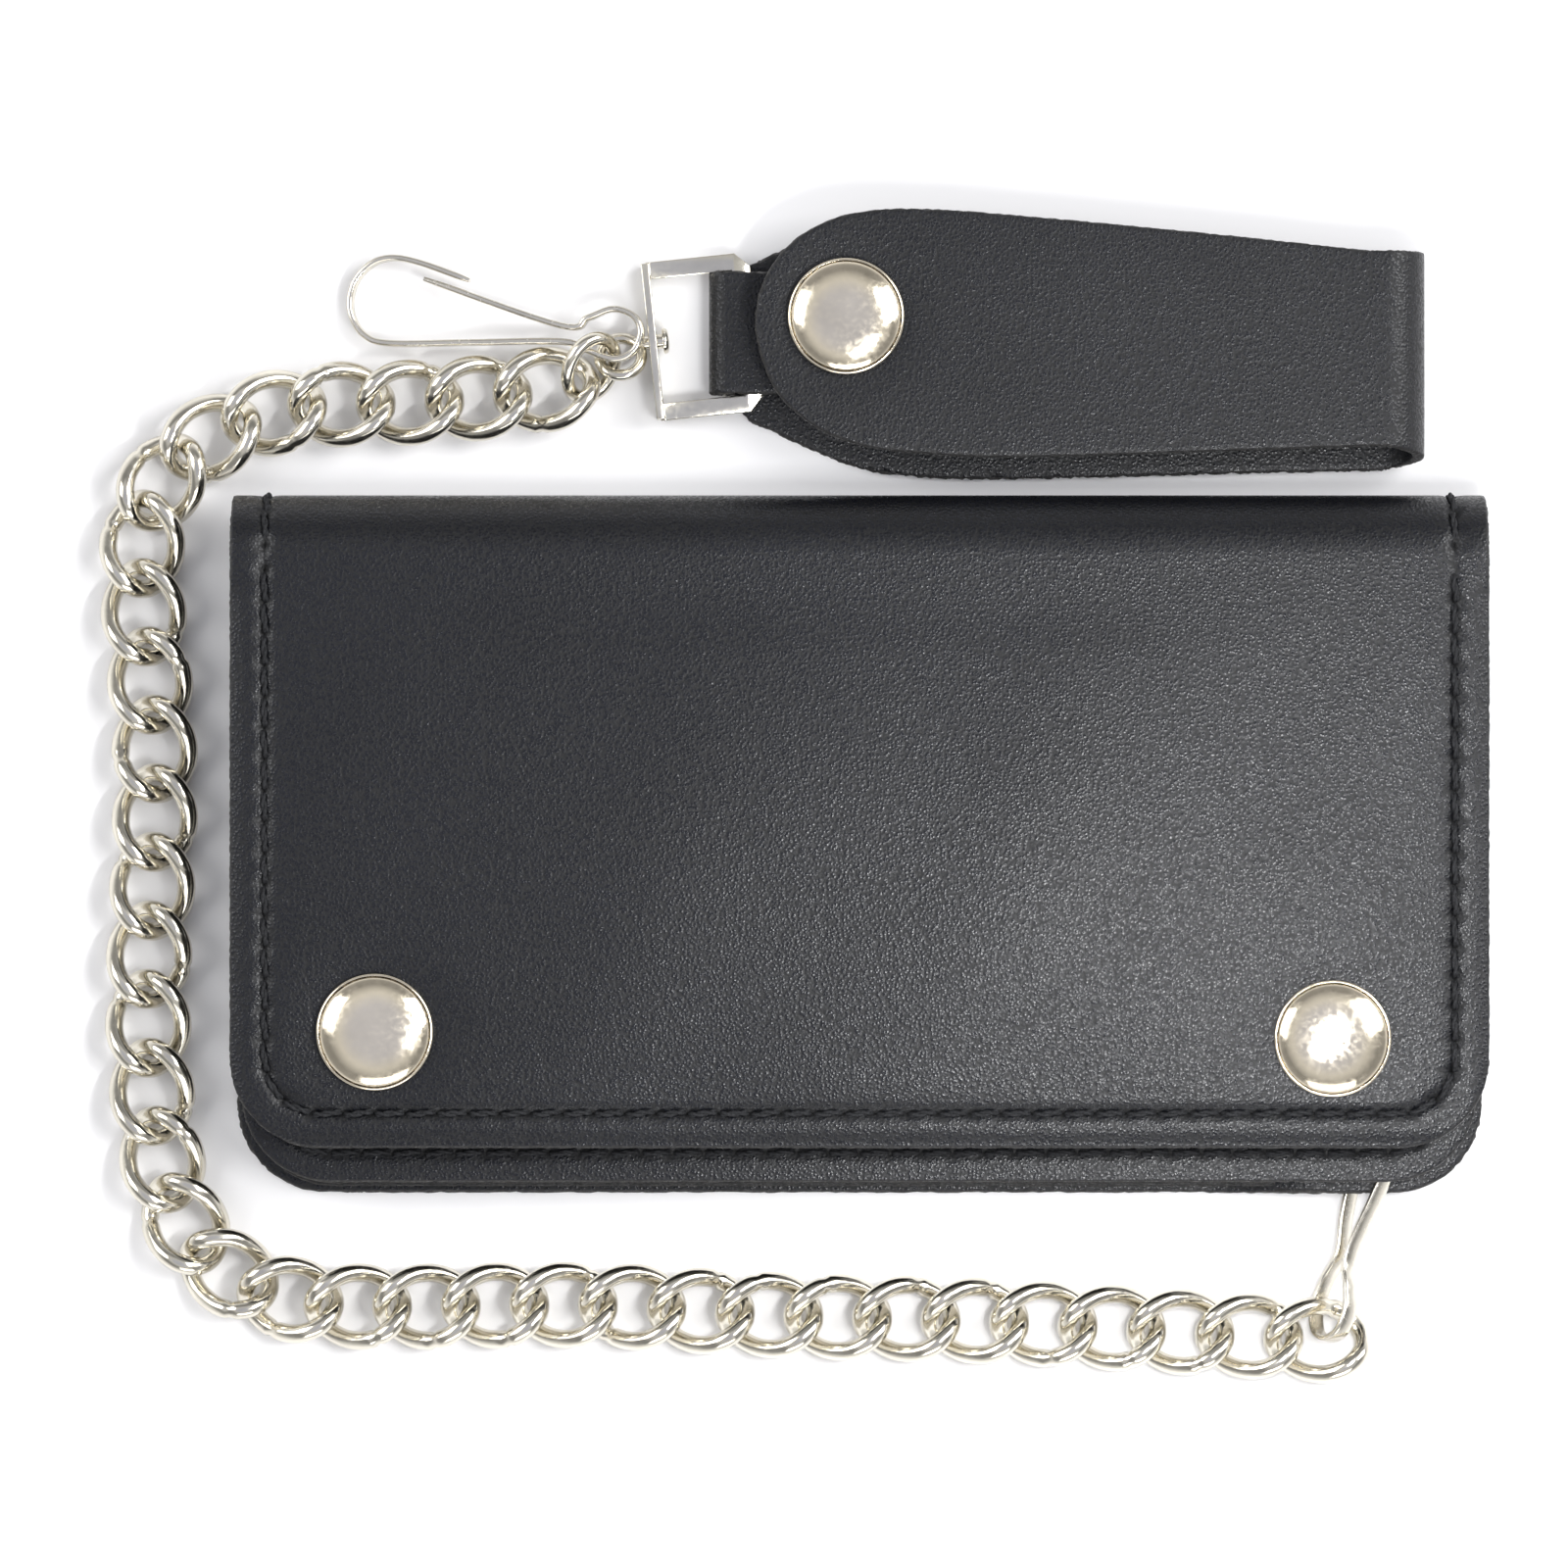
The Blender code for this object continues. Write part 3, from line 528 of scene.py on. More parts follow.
def rounded_run(half, low_y, top_y, radius):
    """The U-shaped stitch line of a panel in XY: down its left side, along its free edge, up its right."""
    line = [(-half, top_y)]
    for angle in np.radians(np.linspace(180, 270, 9)):
        line.append((-half + radius + radius * math.cos(angle), low_y + radius + radius * math.sin(angle)))
    for angle in np.radians(np.linspace(270, 360, 9)):
        line.append((half - radius + radius * math.cos(angle), low_y + radius + radius * math.sin(angle)))
    line.append((half, top_y))
    return line


def distance_to_run(x, y, half, low_y, radius):
    """How far a point is from the U-shaped stitch line."""
    in_corner = (np.abs(x) > half - radius) & (y < low_y + radius)
    side = np.abs(np.abs(x) - half) + (y < low_y + radius) * 1.0
    bottom = np.abs(y - low_y) + (np.abs(x) > half - radius) * 1.0
    round_part = np.abs(np.hypot(np.abs(x) - half + radius, low_y + radius - y) - radius)
    return np.where(in_corner, round_part, np.minimum(side, bottom))


def hole_pits(grid, line, pitch=STITCH_PITCH, radius=0.8 * MM):
    """1 at each needle hole between two stitches, falling to 0 beside it."""
    holes, _ = path_frames(line, pitch, 0)
    total = np.zeros(grid.shape[:2])
    for hole in holes:
        gap = np.linalg.norm(grid - hole, axis=2)
        total = np.maximum(total, np.exp(-((gap / radius) ** 2)))
    return total


RUN_HALF = HALF - STITCH_INSET
RUN_LOW = FLAP_EDGE + STITCH_INSET
RUN_RADIUS = CORNER - STITCH_INSET
SPINE_RADIUS = TOP_Z / 2
SPINE_CENTER_Y = SPINE_Y - SPINE_RADIUS
GROOVE = 0.34 * MM
PIT = 0.75 * MM


def center_of(node):
    corner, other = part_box(node)
    return ((corner[0] + other[0]) / 2, (corner[1] + other[1]) / 2)


def snap_dish(x, y, depth=0.4 * MM):
    """How far the flap's leather is pressed down round its snap caps."""
    total = 0
    for node in ("snap_cap_left", "snap_cap_right"):
        place = center_of(node)
        total = total + depth * np.exp(-((np.hypot(x - place[0], y - place[1]) / (10 * MM)) ** 4))
    return total


def over_spine(side, start, end, radius, count):
    """Points along one edge's stitch line where it runs over the fold."""
    angles = np.radians(np.linspace(start, end, count))
    return [(side * RUN_HALF, SPINE_CENTER_Y + radius * math.cos(angle), SPINE_RADIUS + radius * math.sin(angle))
            for angle in angles]


def spine_up(place):
    rise = np.array([0, place[1] - SPINE_CENTER_Y, place[2] - SPINE_RADIUS])
    return rise / np.linalg.norm(rise)


def front_cover():
    """The flap's outer leather, carried on over the fold, with its stitch groove pressed in."""
    flat = outline_grid(HALF, FLAP_EDGE, HINGE_Y - 2.4 * MM, STITCH_INSET)
    columns = flat.shape[1]
    share = flat[-1, :, 0] / HALF
    middle_z = TOP_Z - COVER / 2
    rows = [np.stack([row[:, 0], row[:, 1], np.full(columns, middle_z)], 1) for row in flat]
    for y in np.arange(HINGE_Y - 2.05 * MM, SPINE_CENTER_Y, 0.35 * MM):
        rows.append(np.stack([share * HALF, np.full(columns, y), np.full(columns, middle_z)], 1))
    radius = SPINE_RADIUS - COVER / 2
    for angle in np.radians(np.linspace(90, -68, 56)):
        y = SPINE_CENTER_Y + radius * math.cos(angle)
        z = SPINE_RADIUS + radius * math.sin(angle)
        rows.append(np.stack([share * HALF, np.full(columns, y), np.full(columns, z)], 1))
    middle = np.array(rows)
    x, y, z = middle[..., 0].copy(), middle[..., 1].copy(), middle[..., 2].copy()
    on_flat = y + z < SPINE_CENTER_Y + middle_z - 0.01 * MM
    on_flat &= z > middle_z - 0.01 * MM
    run = distance_to_run(x, y, RUN_HALF, RUN_LOW, RUN_RADIUS)
    gap = np.where(on_flat, run, np.abs(np.abs(x) - RUN_HALF))
    flat_line = [(px, py, TOP_Z - COVER / 2)
                 for px, py in rounded_run(RUN_HALF, RUN_LOW, HINGE_Y - 2 * MM, RUN_RADIUS)]
    pits = hole_pits(middle, flat_line)
    for side in (-1, 1):
        pits = np.maximum(pits, hole_pits(middle, over_spine(side, 80, -62, radius, 24)))
    belly = np.cos(np.clip((x + 8 * MM) / (90 * MM), -1, 1) * math.pi / 2)
    belly = belly * np.cos(np.clip((y + 2 * MM) / (42 * MM), -1, 1) * math.pi / 2)
    soft = 1.1 * MM * belly + 0.16 * MM * noise(x, y, 60 * MM, 4) + 0.05 * MM * noise(x, y, 22 * MM, 9)
    rim = np.minimum(HALF - np.abs(x), np.where(on_flat, y - FLAP_EDGE, 1.0))
    soft = soft * ease(rim, 0, 8 * MM) * ease(HINGE_Y - y, 3 * MM, 14 * MM)
    roll = 0.35 * MM * (1 - ease(rim, 0, 2.2 * MM))
    drop = GROOVE * np.exp(-((gap / (0.8 * MM)) ** 2)) + PIT * pits
    drop = drop + np.where(on_flat, snap_dish(x, y) - soft + roll * ease(HINGE_Y - y, 2 * MM, 6 * MM), 0)
    outward_y = np.where(on_flat, 0, (y - SPINE_CENTER_Y) / radius)
    outward_z = np.where(on_flat, 1, (z - SPINE_RADIUS) / radius)
    middle[..., 1] -= outward_y * drop
    middle[..., 2] -= outward_z * drop
    # painted shade: darkest in the stitch holes, fainter along the stitch groove
    shade = np.clip(pits * 1.6 + 0.45 * np.exp(-((gap / (0.45 * MM)) ** 2)), 0, 1)
    piece = leather_sheet("front_leather", middle, COVER, 0.45 * MM, COVER_LEATHER, 0.6, shade, 0.07 * MM)
    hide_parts("front_cover")
    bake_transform(piece)
    run = rounded_run(RUN_HALF, RUN_LOW, HINGE_Y - 2.2 * MM, RUN_RADIUS)
    line = [(px, py, TOP_Z - GROOVE) for px, py in run]
    stitches("flap_stitches", line, (0, 0, 1), "flap")
    for side, label in ((-1, "left"), (1, "right")):
        stitches(f"spine_stitches_{label}", over_spine(side, 76, -62, SPINE_RADIUS - GROOVE, 24), spine_up,
                 "wallet_back")


def corner_lift(x, y):
    """Height of the back cover over the table where the spring hook passes under its corner."""
    return 3.1 * MM * ease(x, 48 * MM, 64 * MM) * (1 - ease(y, -22 * MM, -6 * MM))


def back_cover():
    """The back leather, lifted at its lower right corner, with its spine turned up to meet the front's."""
    flat = outline_grid(HALF, BACK_EDGE, SPINE_CENTER_Y, STITCH_INSET)
    columns = flat.shape[1]
    share = flat[-1, :, 0] / HALF
    x, y = flat[..., 0], flat[..., 1]
    rows = list(np.stack([x, y, COVER / 2 + corner_lift(x, y)], 2))
    radius = SPINE_RADIUS - COVER / 2
    for angle in np.radians(np.linspace(-88, -68.3, 6)):
        y = SPINE_CENTER_Y + radius * math.cos(angle)
        z = SPINE_RADIUS + radius * math.sin(angle)
        rows.append(np.stack([share * HALF, np.full(columns, y), np.full(columns, z)], 1))
    piece = leather_sheet("back_leather", np.array(rows), COVER, 0.45 * MM, COVER_LEATHER, 0.9,
                          ragged=0.12 * MM)
    x, y = center_of("grommet")
    bore = 4.6 * MM
    turns = np.arange(40) * 2 * math.pi / 40
    cut_through(piece, [(x + bore * math.cos(turn), y + bore * math.sin(turn)) for turn in turns])
    settle(piece, "wallet_back", ["back_cover"])


def cut_through(piece, outline):
    """Cuts a hole of the given outline down through a leather piece."""
    count = len(outline)
    points = [(x, y, z) for z in (-5 * MM, 30 * MM) for x, y in outline]
    faces = grid_faces(2, count, False, True) + [tuple(range(count)), tuple(range(count, 2 * count))]
    cutter = new_piece("cutter", points, faces, COVER_LEATHER)
    fix_normals(cutter)
    boolean = piece.modifiers.new("hole", "BOOLEAN")
    boolean.operation = "DIFFERENCE"
    boolean.object = cutter
    bpy.context.view_layer.update()
    data = bpy.data.meshes.new_from_object(piece.evaluated_get(bpy.context.evaluated_depsgraph_get()))
    piece.modifiers.clear()
    piece.data = data
    bpy.data.objects.remove(cutter)


def flat_panel(node, body, material, inset, wear=0.8, sway=0.1 * MM):
    """A leather panel with round free corners, where a CAD panel lies, and its stitch line if it has one."""
    corner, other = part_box(node)
    thickness = other[2] - corner[2]
    z = (corner[2] + other[2]) / 2
    half = other[0]
    flat = outline_grid(half, corner[1], other[1], inset or STITCH_INSET)
    x, y = flat[..., 0], flat[..., 1]
    middle = np.stack([x, y, z + sway * noise(x, y, 40 * MM, 21)], 2)
    shade = None
    if inset:
        run = rounded_run(half - inset, corner[1] + inset, 30 * MM, CORNER - inset)
        gap = distance_to_run(x, y, half - inset, corner[1] + inset, CORNER - inset)
        gap = gap + (y > 30 * MM) * 1.0
        pits = hole_pits(middle, [(px, py, z) for px, py in run])
        middle[..., 2] -= 0.25 * MM * np.exp(-((gap / (0.8 * MM)) ** 2)) + 0.3 * MM * pits
        # painted shade: darkest in the stitch holes, fainter along the stitch groove
        shade = np.clip(pits * 1.6 + 0.45 * np.exp(-((gap / (0.45 * MM)) ** 2)), 0, 1)
        line = [(px, py, other[2] - 0.25 * MM) for px, py in run]
        stitches(f"{node}_stitches", line, (0, 0, 1), body)
    piece = leather_sheet(f"{node}_leather", middle, thickness, 0.35 * MM, material, wear, shade, 0.07 * MM)
    return settle(piece, body, [node])


def inner_leaves():
    """The card panel, the linings glued under it, its pocket, and the bill divider."""
    flat_panel("card_panel", "wallet_back", COVER_LEATHER, 3.7 * MM)
    bottom = low("card_panel")[2]
    left = -HALF + 1.4 * MM
    right = 57 * MM
    far = -30 * MM
    for number, (drop, edge) in enumerate(((0.32, 0.35), (0.80, 0.75), (1.28, 0.45))):
        xs = np.linspace(left, right, 240)
        turned = np.maximum(left + CORNER - xs, 0)
        edge_y = CARD_EDGE - edge * MM + CORNER - np.sqrt(np.maximum(CORNER**2 - turned**2, 0))
        zs = bottom - drop * MM + 0.05 * MM * noise(xs, 0, 30 * MM, number)
        rows = [np.stack([xs, edge_y + share * (far - edge_y), zs], 1) for share in np.linspace(0, 1, 10)]
        leaf = leather_sheet(f"card_lining_{number}", np.array(rows), 0.42 * MM, 0.2 * MM,
                             LINING_LEATHER, 0.9, ragged=0.10 * MM)
        settle(leaf, "wallet_back")

    corner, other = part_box("card_pocket")
    x, y = np.meshgrid(np.linspace(corner[0], other[0], 70), np.linspace(corner[1], other[1], 40))
    z = (corner[2] + other[2]) / 2
    middle = np.stack([x, y, np.full_like(x, z)], 2)
    piece = leather_sheet("card_pocket_leather", middle, other[2] - corner[2], 0.3 * MM, LINING_LEATHER, 0.7)
    settle(piece, "wallet_back", ["card_pocket"])
    inset = 2 * MM
    top = other[2] - 0.3 * MM
    line = [(corner[0] + inset, other[1], top), (corner[0] + inset, corner[1] + inset, top),
            (other[0] - inset, corner[1] + inset, top), (other[0] - inset, other[1], top)]
    stitches("card_pocket_stitches", line, (0, 0, 1), "wallet_back", 3 * MM, 2.6 * MM)
    weathered("bill_divider", "wallet_back", LINING_LEATHER, 0.12 * MM, 0.8)


def outline_of(corner, other, grow):
    """The four corners of a box in XY, moved out by grow."""
    x0, x1 = corner[0] - grow, other[0] + grow
    y0, y1 = corner[1] - grow, other[1] + grow
    return [(x0, y0), (x1, y0), (x1, y1), (x0, y1)]


BOX_FACES = ((0, 1, 5, 4), (1, 2, 6, 5), (2, 3, 7, 6), (3, 0, 4, 7), (4, 5, 6, 7), (3, 2, 1, 0))


def zip_panel():
    """The flap's lining, with the slot of its zip bound by stitches, and the zip's tape and teeth."""
    piece = flat_panel("zip_panel", "flap", LINING_LEATHER, None, 0.7, 0)
    tape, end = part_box("zip_tape")
    cut_through(piece, outline_of(tape, end, 0.25 * MM))
    bottom = low("zip_panel")[2] + 0.62 * MM
    around = outline_of(tape, end, 1.8 * MM)
    line = [(x, y, bottom) for x, y in [*around, around[0]]]
    stitches("zip_stitches", line, (0, 0, -1), "flap", 3 * MM, 2.6 * MM)
    weathered("zip_tape", "flap", ZIP_TAPE, 0.05 * MM, 0)
    teeth = []
    middle = (tape[1] + end[1]) / 2
    for number, x in enumerate(np.arange(tape[0] + 1 * MM, end[0] - 1 * MM, 0.75 * MM)):
        side = 0.45 * MM if number % 2 else -0.45 * MM
        box = []
        for z, shrink in ((tape[2] + 0.05 * MM, 1.0), (tape[2] - 0.12 * MM, 0.8)):
            for sx, sy in ((-1, -1), (1, -1), (1, 1), (-1, 1)):
                box.append((x + sx * 0.3 * MM * shrink, middle + side + sy * 0.95 * MM * shrink, z))
        teeth.append((box, BOX_FACES))
    piece = new_piece("zip_teeth", *join(teeth), ZIP_METAL)
    piece.data.polygons.foreach_set("use_smooth", [False] * len(piece.data.polygons))
    settle(piece, "flap")


def copy_of(node):
    """The CAD node's own shape as a bmesh in its place, with its flat faces whole again."""
    part = frame["nodes"][node]
    mesh = bmesh.new()
    mesh.from_mesh(part.data)
    mesh.transform(part.matrix_world)
    bmesh.ops.remove_doubles(mesh, verts=mesh.verts, dist=1e-6)
    bmesh.ops.dissolve_limit(mesh, angle_limit=math.radians(2), verts=mesh.verts, edges=mesh.edges)
    return mesh


def finished(mesh, name, material):
    """A scene object from a bmesh, smooth but for its sharp edges."""
    data = bpy.data.meshes.new(name)
    mesh.to_mesh(data)
    mesh.free()
    piece = add_to_scene(name, data, material)
    data.set_sharp_from_angle(angle=math.radians(40))
    return piece


def softened(node, body, material, width):
    """The same part with its sharp edges rounded over."""
    mesh = copy_of(node)
    sharp = [edge for edge in mesh.edges if edge.calc_face_angle(0) > math.radians(35)]
    bmesh.ops.bevel(mesh, geom=sharp, offset=width, offset_type="OFFSET", segments=2, profile=0.5,
                    affect="EDGES", clamp_overlap=True)
    piece = finished(mesh, f"{node}_finish", material)
    return settle(piece, body, [node])


def weathered(node, body, material, ragged, wear):
    """A flat leather or cloth part with its cut edges roughened."""
    mesh = copy_of(node)
    bmesh.ops.triangulate(mesh, faces=mesh.faces)
    for _ in range(9):
        long = [edge for edge in mesh.edges if edge.calc_length() > 2.2 * MM]
        if not long:
            break
        bmesh.ops.subdivide_edges(mesh, edges=long, cuts=1)
        bmesh.ops.triangulate(mesh, faces=[face for face in mesh.faces if len(face.verts) > 3])
    mesh.normal_update()
    rng = random.Random(node)
    rims = {}
    for vertex in mesh.verts:
        faces = vertex.link_faces
        upright = [face for face in faces if abs(face.normal.z) < 0.5]
        rims[vertex.index] = len(upright) > 0
        if upright:
            out = sum((face.normal for face in upright), Vector())
            out.z = 0
            if out.length > 0:
                vertex.co += out.normalized() * rng.uniform(-ragged, 0.3 * ragged)
    values = [wear if rims[vertex.index] else 0.0 for vertex in mesh.verts]
    piece = finished(mesh, f"{node}_leather", material)
    piece.data.attributes.new("wear", "FLOAT", "POINT").data.foreach_set("value", values)
    return settle(piece, body, [node])


# Snaps

def snap_cap(node, body):
    """A domed cap whose thin edge is rolled under, on its post."""
    corner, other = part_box(node)
    radius = (other[0] - corner[0]) / 2
    top = other[2]
    seat = top - 2.7 * MM
    edge = 0.34 * MM
    shoulder = radius - edge
    rise = seat + 0.95 * MM
    profile = [(0, top)]
    for share in np.linspace(0.06, 1, 22):
        profile.append((shoulder * share, rise + (top - rise) * (1 - share**2.5) ** 0.75))
    for angle in np.radians(np.linspace(100, -80, 11)):
        profile.append((shoulder + edge * math.cos(angle), seat + 0.66 * MM + edge * math.sin(angle)))
    post = 1.6 * MM
    inside = seat + 0.3 * MM
    profile += [(radius - 1.6 * MM, inside), (post, inside), (post, corner[2]), (0, corner[2])]
    piece = new_piece(f"{node}_metal", *lathe(profile, center_of(node), 96), SNAP_NICKEL)
    fix_normals(piece)
    settle(piece, body, [node])


# Chain

LINK_COUNT = 35
WIRE = 1.28 * MM
LINK_WIDTH = 4.7 * MM
LINK_TWIST = math.radians(46)
SQUARENESS = 2.3


def link_shape(start, end, rng):
    """One curb link: a flattened loop twisted along its length, with the butt joint of its wire."""
    pitch = np.linalg.norm(end - start)
    forward = (end - start) / pitch
    aside = np.cross((0, 0, 1), forward)
    upward = np.array((0, 0, 1))
    half = pitch / 2 + WIRE + 0.245 * MM
    center = (start + end) / 2
    count = 76
    points = []
    radii = []
    joint = rng.choice((0.2, 0.3, 0.7, 0.8)) * count + rng.uniform(-2, 2)
    for i in range(count):
        angle = 2 * math.pi * i / count
        cosine = math.cos(angle)
        sine = math.sin(angle)
        x = half * math.copysign(abs(cosine) ** (2 / SQUARENESS), cosine)
        y = LINK_WIDTH * math.copysign(abs(sine) ** (2 / SQUARENESS), sine)
        twist = -LINK_TWIST * x / half
        points.append(center + forward * x + aside * y * math.cos(twist) + upward * y * math.sin(twist))
        off = abs(i - joint)
        neck = 0.80 if off < 0.5 else 0.975 if off < 1.5 else 1.0
        radii.append(WIRE * neck * (1 + rng.uniform(-0.004, 0.004)))
    return tube(points, radii, 18, closed=True)


def chain():
    joints = {joint["child"]: joint for joint in frame["joints"]}
    names = [f"link_{number:02d}" for number in range(1, LINK_COUNT + 1)]
    places = [np.array(joints[name]["pos_m"]) for name in [*names, "end_ring"]]
    rng = random.Random(7)
    for name, start, end in zip(names, places, places[1:]):
        piece = new_piece(f"{name}_metal", *link_shape(start, end, rng), CHAIN_NICKEL)
        settle(piece, name, [name])


# Hooks, end ring, swivel

def section_strip(path, place, along, aside, thickness=0.84 * MM, width=2.32 * MM):
    """A bent steel strip with rounded edges. path is its centre line in the plane of along and aside."""
    along = np.array(Vector(along).normalized())
    aside = np.array(aside, float)
    aside = aside - along * (along @ aside)
    aside /= np.linalg.norm(aside)
    across = np.cross(along, aside)
    line = smooth_curve([np.array(pair) for pair in path], 8)
    ahead = np.gradient(line, axis=0)
    ahead /= np.linalg.norm(ahead, axis=1)[:, None]
    corner = 0.3 * MM
    section = []
    for sx, sy, start in ((1, 1, 0), (-1, 1, 90), (-1, -1, 180), (1, -1, 270)):
        for angle in np.radians((start + 5, start + 45, start + 85)):
            section.append((sx * (thickness / 2 - corner) + corner * math.cos(angle),
                            sy * (width / 2 - corner) + corner * math.sin(angle)))
    points = []
    count = len(line)
    for i, (place_2d, direction) in enumerate(zip(line, ahead)):
        center = np.array(place) + along * place_2d[0] + aside * place_2d[1]
        out = aside * direction[0] - along * direction[1]
        end = min(i, count - 1 - i)
        shrink = (0.72, 0.9, 1.0)[min(end, 2)]
        points += [center + out * n * shrink + across * w * shrink for n, w in section]
    sides = len(section)
    faces = grid_faces(count, sides, False, True)
    faces += [tuple(range(sides)), tuple(range((count - 1) * sides, count * sides))]
    return points, faces


# The hooks' centre lines, in mm along and aside from the place where each hook turns
WALLET_HOOK_PATH = (
    (27.0, 2.9), (17.6, 2.8), (7.2, 0.6), (3.0, 2.3), (-0.2, 3.5), (-3.4, 3.0), (-4.9, 0.6), (-4.2, -1.8),
    (-1.4, -3.15), (2.6, -2.8), (6.8, -1.4), (12.0, -2.6), (17.6, -3.1), (29.6, -3.1), (33.5, -2.5),
    (35.7, -0.8), (35.9, 1.2), (34.2, 3.2), (30.5, 4.0), (27.3, 4.1), (20.6, 4.1),
)
STRAP_HOOK_PATH = (
    (26.4, 3.87), (6.6, 0.3), (3.0, 1.9), (-0.2, 3.6), (-3.2, 3.1), (-4.6, 1.0), (-3.9, -1.8), (-1.4, -3.2),
    (2.6, -2.5), (6.2, -1.9), (18.9, -3.9), (29.6, -5.6), (33.5, -5.0), (35.9, -2.0), (36.0, 1.7),
    (34.2, 4.7), (31.4, 6.1), (27.3, 6.0), (20.1, 4.6),
)


def hooks():
    """Both spring hooks, each one bent strip of spring steel."""
    heading = math.radians(16)
    tilt = math.radians(54)
    along = (math.sin(heading), math.cos(heading), 0)
    aside = (math.cos(tilt) * math.cos(heading), -math.cos(tilt) * math.sin(heading), math.sin(tilt))
    for node, path, place, ahead, beside in (
        ("wallet_spring_hook", WALLET_HOOK_PATH, (0.06558, -0.06347, 0.00363), along, aside),
        ("strap_spring_hook", STRAP_HOOK_PATH, (-0.03464, 0.07011, 0.00535), (-0.988, 0.153, -0.114),
         (0.153, 0.988, 0)),
    ):
        path = [(u * MM, v * MM) for u, v in path]
        piece = new_piece(f"{node}_metal", *section_strip(path, place, ahead, beside), HOOK_NICKEL)
        fix_normals(piece)
        piece.data.set_sharp_from_angle(angle=math.radians(50))
        settle(piece, "wallet_hook" if node.startswith("wallet") else "strap_hook", [node])


FRAME_ANGLE = math.radians(6)
SHANK_START = np.array((-0.03075, 0.0690, 0.00216))


def end_ring():
    """The small oval ring, with the butt joint of its wire."""
    turn = Euler([math.radians(angle) for angle in (-37.4, 33.3, -98.4)]).to_matrix()
    points = []
    radii = []
    for i in range(64):
        angle = 2 * math.pi * i / 64
        point = turn @ Vector((4.7 * MM * math.cos(angle), 3.8 * MM * math.sin(angle), 0))
        points.append(np.array(point) + (-0.0369, 0.06561, 0.00422))
        radii.append(0.93 * MM * (0.8 if i == 13 else 1))
    piece = new_piece("end_ring_metal", *tube(points, radii, 18, closed=True), CHAIN_NICKEL)
    settle(piece, "end_ring", ["end_ring"])


def swivel_eye():
    """A wire eye closed on a shank that is riveted over inside the ring frame."""
    turn = Matrix.Rotation(FRAME_ANGLE, 3, "Z")
    tilt = turn @ Matrix.Rotation(-0.445, 3, "X")
    center = SHANK_START + np.array(tilt @ Vector((-2.3 * MM, -1.75 * MM, 0)))
    radius = 2.9 * MM
    loop = []
    for i in range(56):
        angle = 2 * math.pi * i / 56
        loop.append(center + np.array(tilt @ Vector((radius * math.cos(angle), radius * math.sin(angle), 0))))
    shapes = [tube(loop, 0.8 * MM, 16, closed=True)]
    profile = [(-0.25, 0.85), (0.2, 1.0), (3.7, 1.0), (3.75, 1.7), (4.0, 1.8), (4.35, 1.65), (4.55, 1.2),
               (4.62, 0.5)]
    line = [SHANK_START + np.array(turn @ Vector((u * MM, 0, 0))) for u, _ in profile]
    shapes.append(tube(line, [r * MM for _, r in profile], 28))
    piece = new_piece("swivel_eye_metal", *join(shapes), CHAIN_NICKEL)
    piece.data.set_sharp_from_angle(angle=math.radians(50))
    settle(piece, "swivel_eye", ["swivel_eye"])


# Strap

STRAP = 1.6 * MM  # thickness
STRAP_TOP = high("strap_upper_leaf")[2]
FOLD_X = 72.3 * MM
FOLD_RADIUS = (STRAP_TOP - STRAP) / 2
# Outlines in mm: (x, y) along the upper leaf's two sides, and (x, low y, high y) down the lower leaf
UPPER_HIGH = (
    (-13.9, 72.6), (-13.2, 75.9), (-11.4, 79.5), (-8.3, 82.8), (-3.6, 85.3), (0.5, 86.3), (6.0, 86.7),
    (16.8, 86.2), (44.0, 83.7), (69.8, 81.0),
)
UPPER_LOW = (
    (-13.9, 70.6), (-13.0, 66.6), (-10.6, 61.6), (-5.4, 57.2), (1.2, 54.8), (10.0, 53.8), (22.3, 53.4),
    (46.0, 54.1), (69.8, 54.9),
)
LOWER_LEAF = (
    (72.3, 51.9, 80.8), (58.0, 51.6, 81.8), (45.0, 51.3, 82.7), (22.0, 50.7, 84.5), (11.4, 50.8, 85.3),
    (3.3, 51.5, 85.5), (-2.2, 53.0, 84.8), (-7.6, 55.3, 83.0), (-12.0, 57.4, 81.0), (-15.2, 58.9, 79.4),
    (-16.4, 61.4, 78.9), (-17.2, 62.3, 78.5),
)


def across_row(x, z, low_y, high_y, share, high_x=None):
    """One row of points across the strap at height z, from its low side to its high side."""
    slant = 0 if high_x is None else high_x - x
    return np.column_stack([x + slant * share, low_y + (high_y - low_y) * share, np.full(len(share), z)])


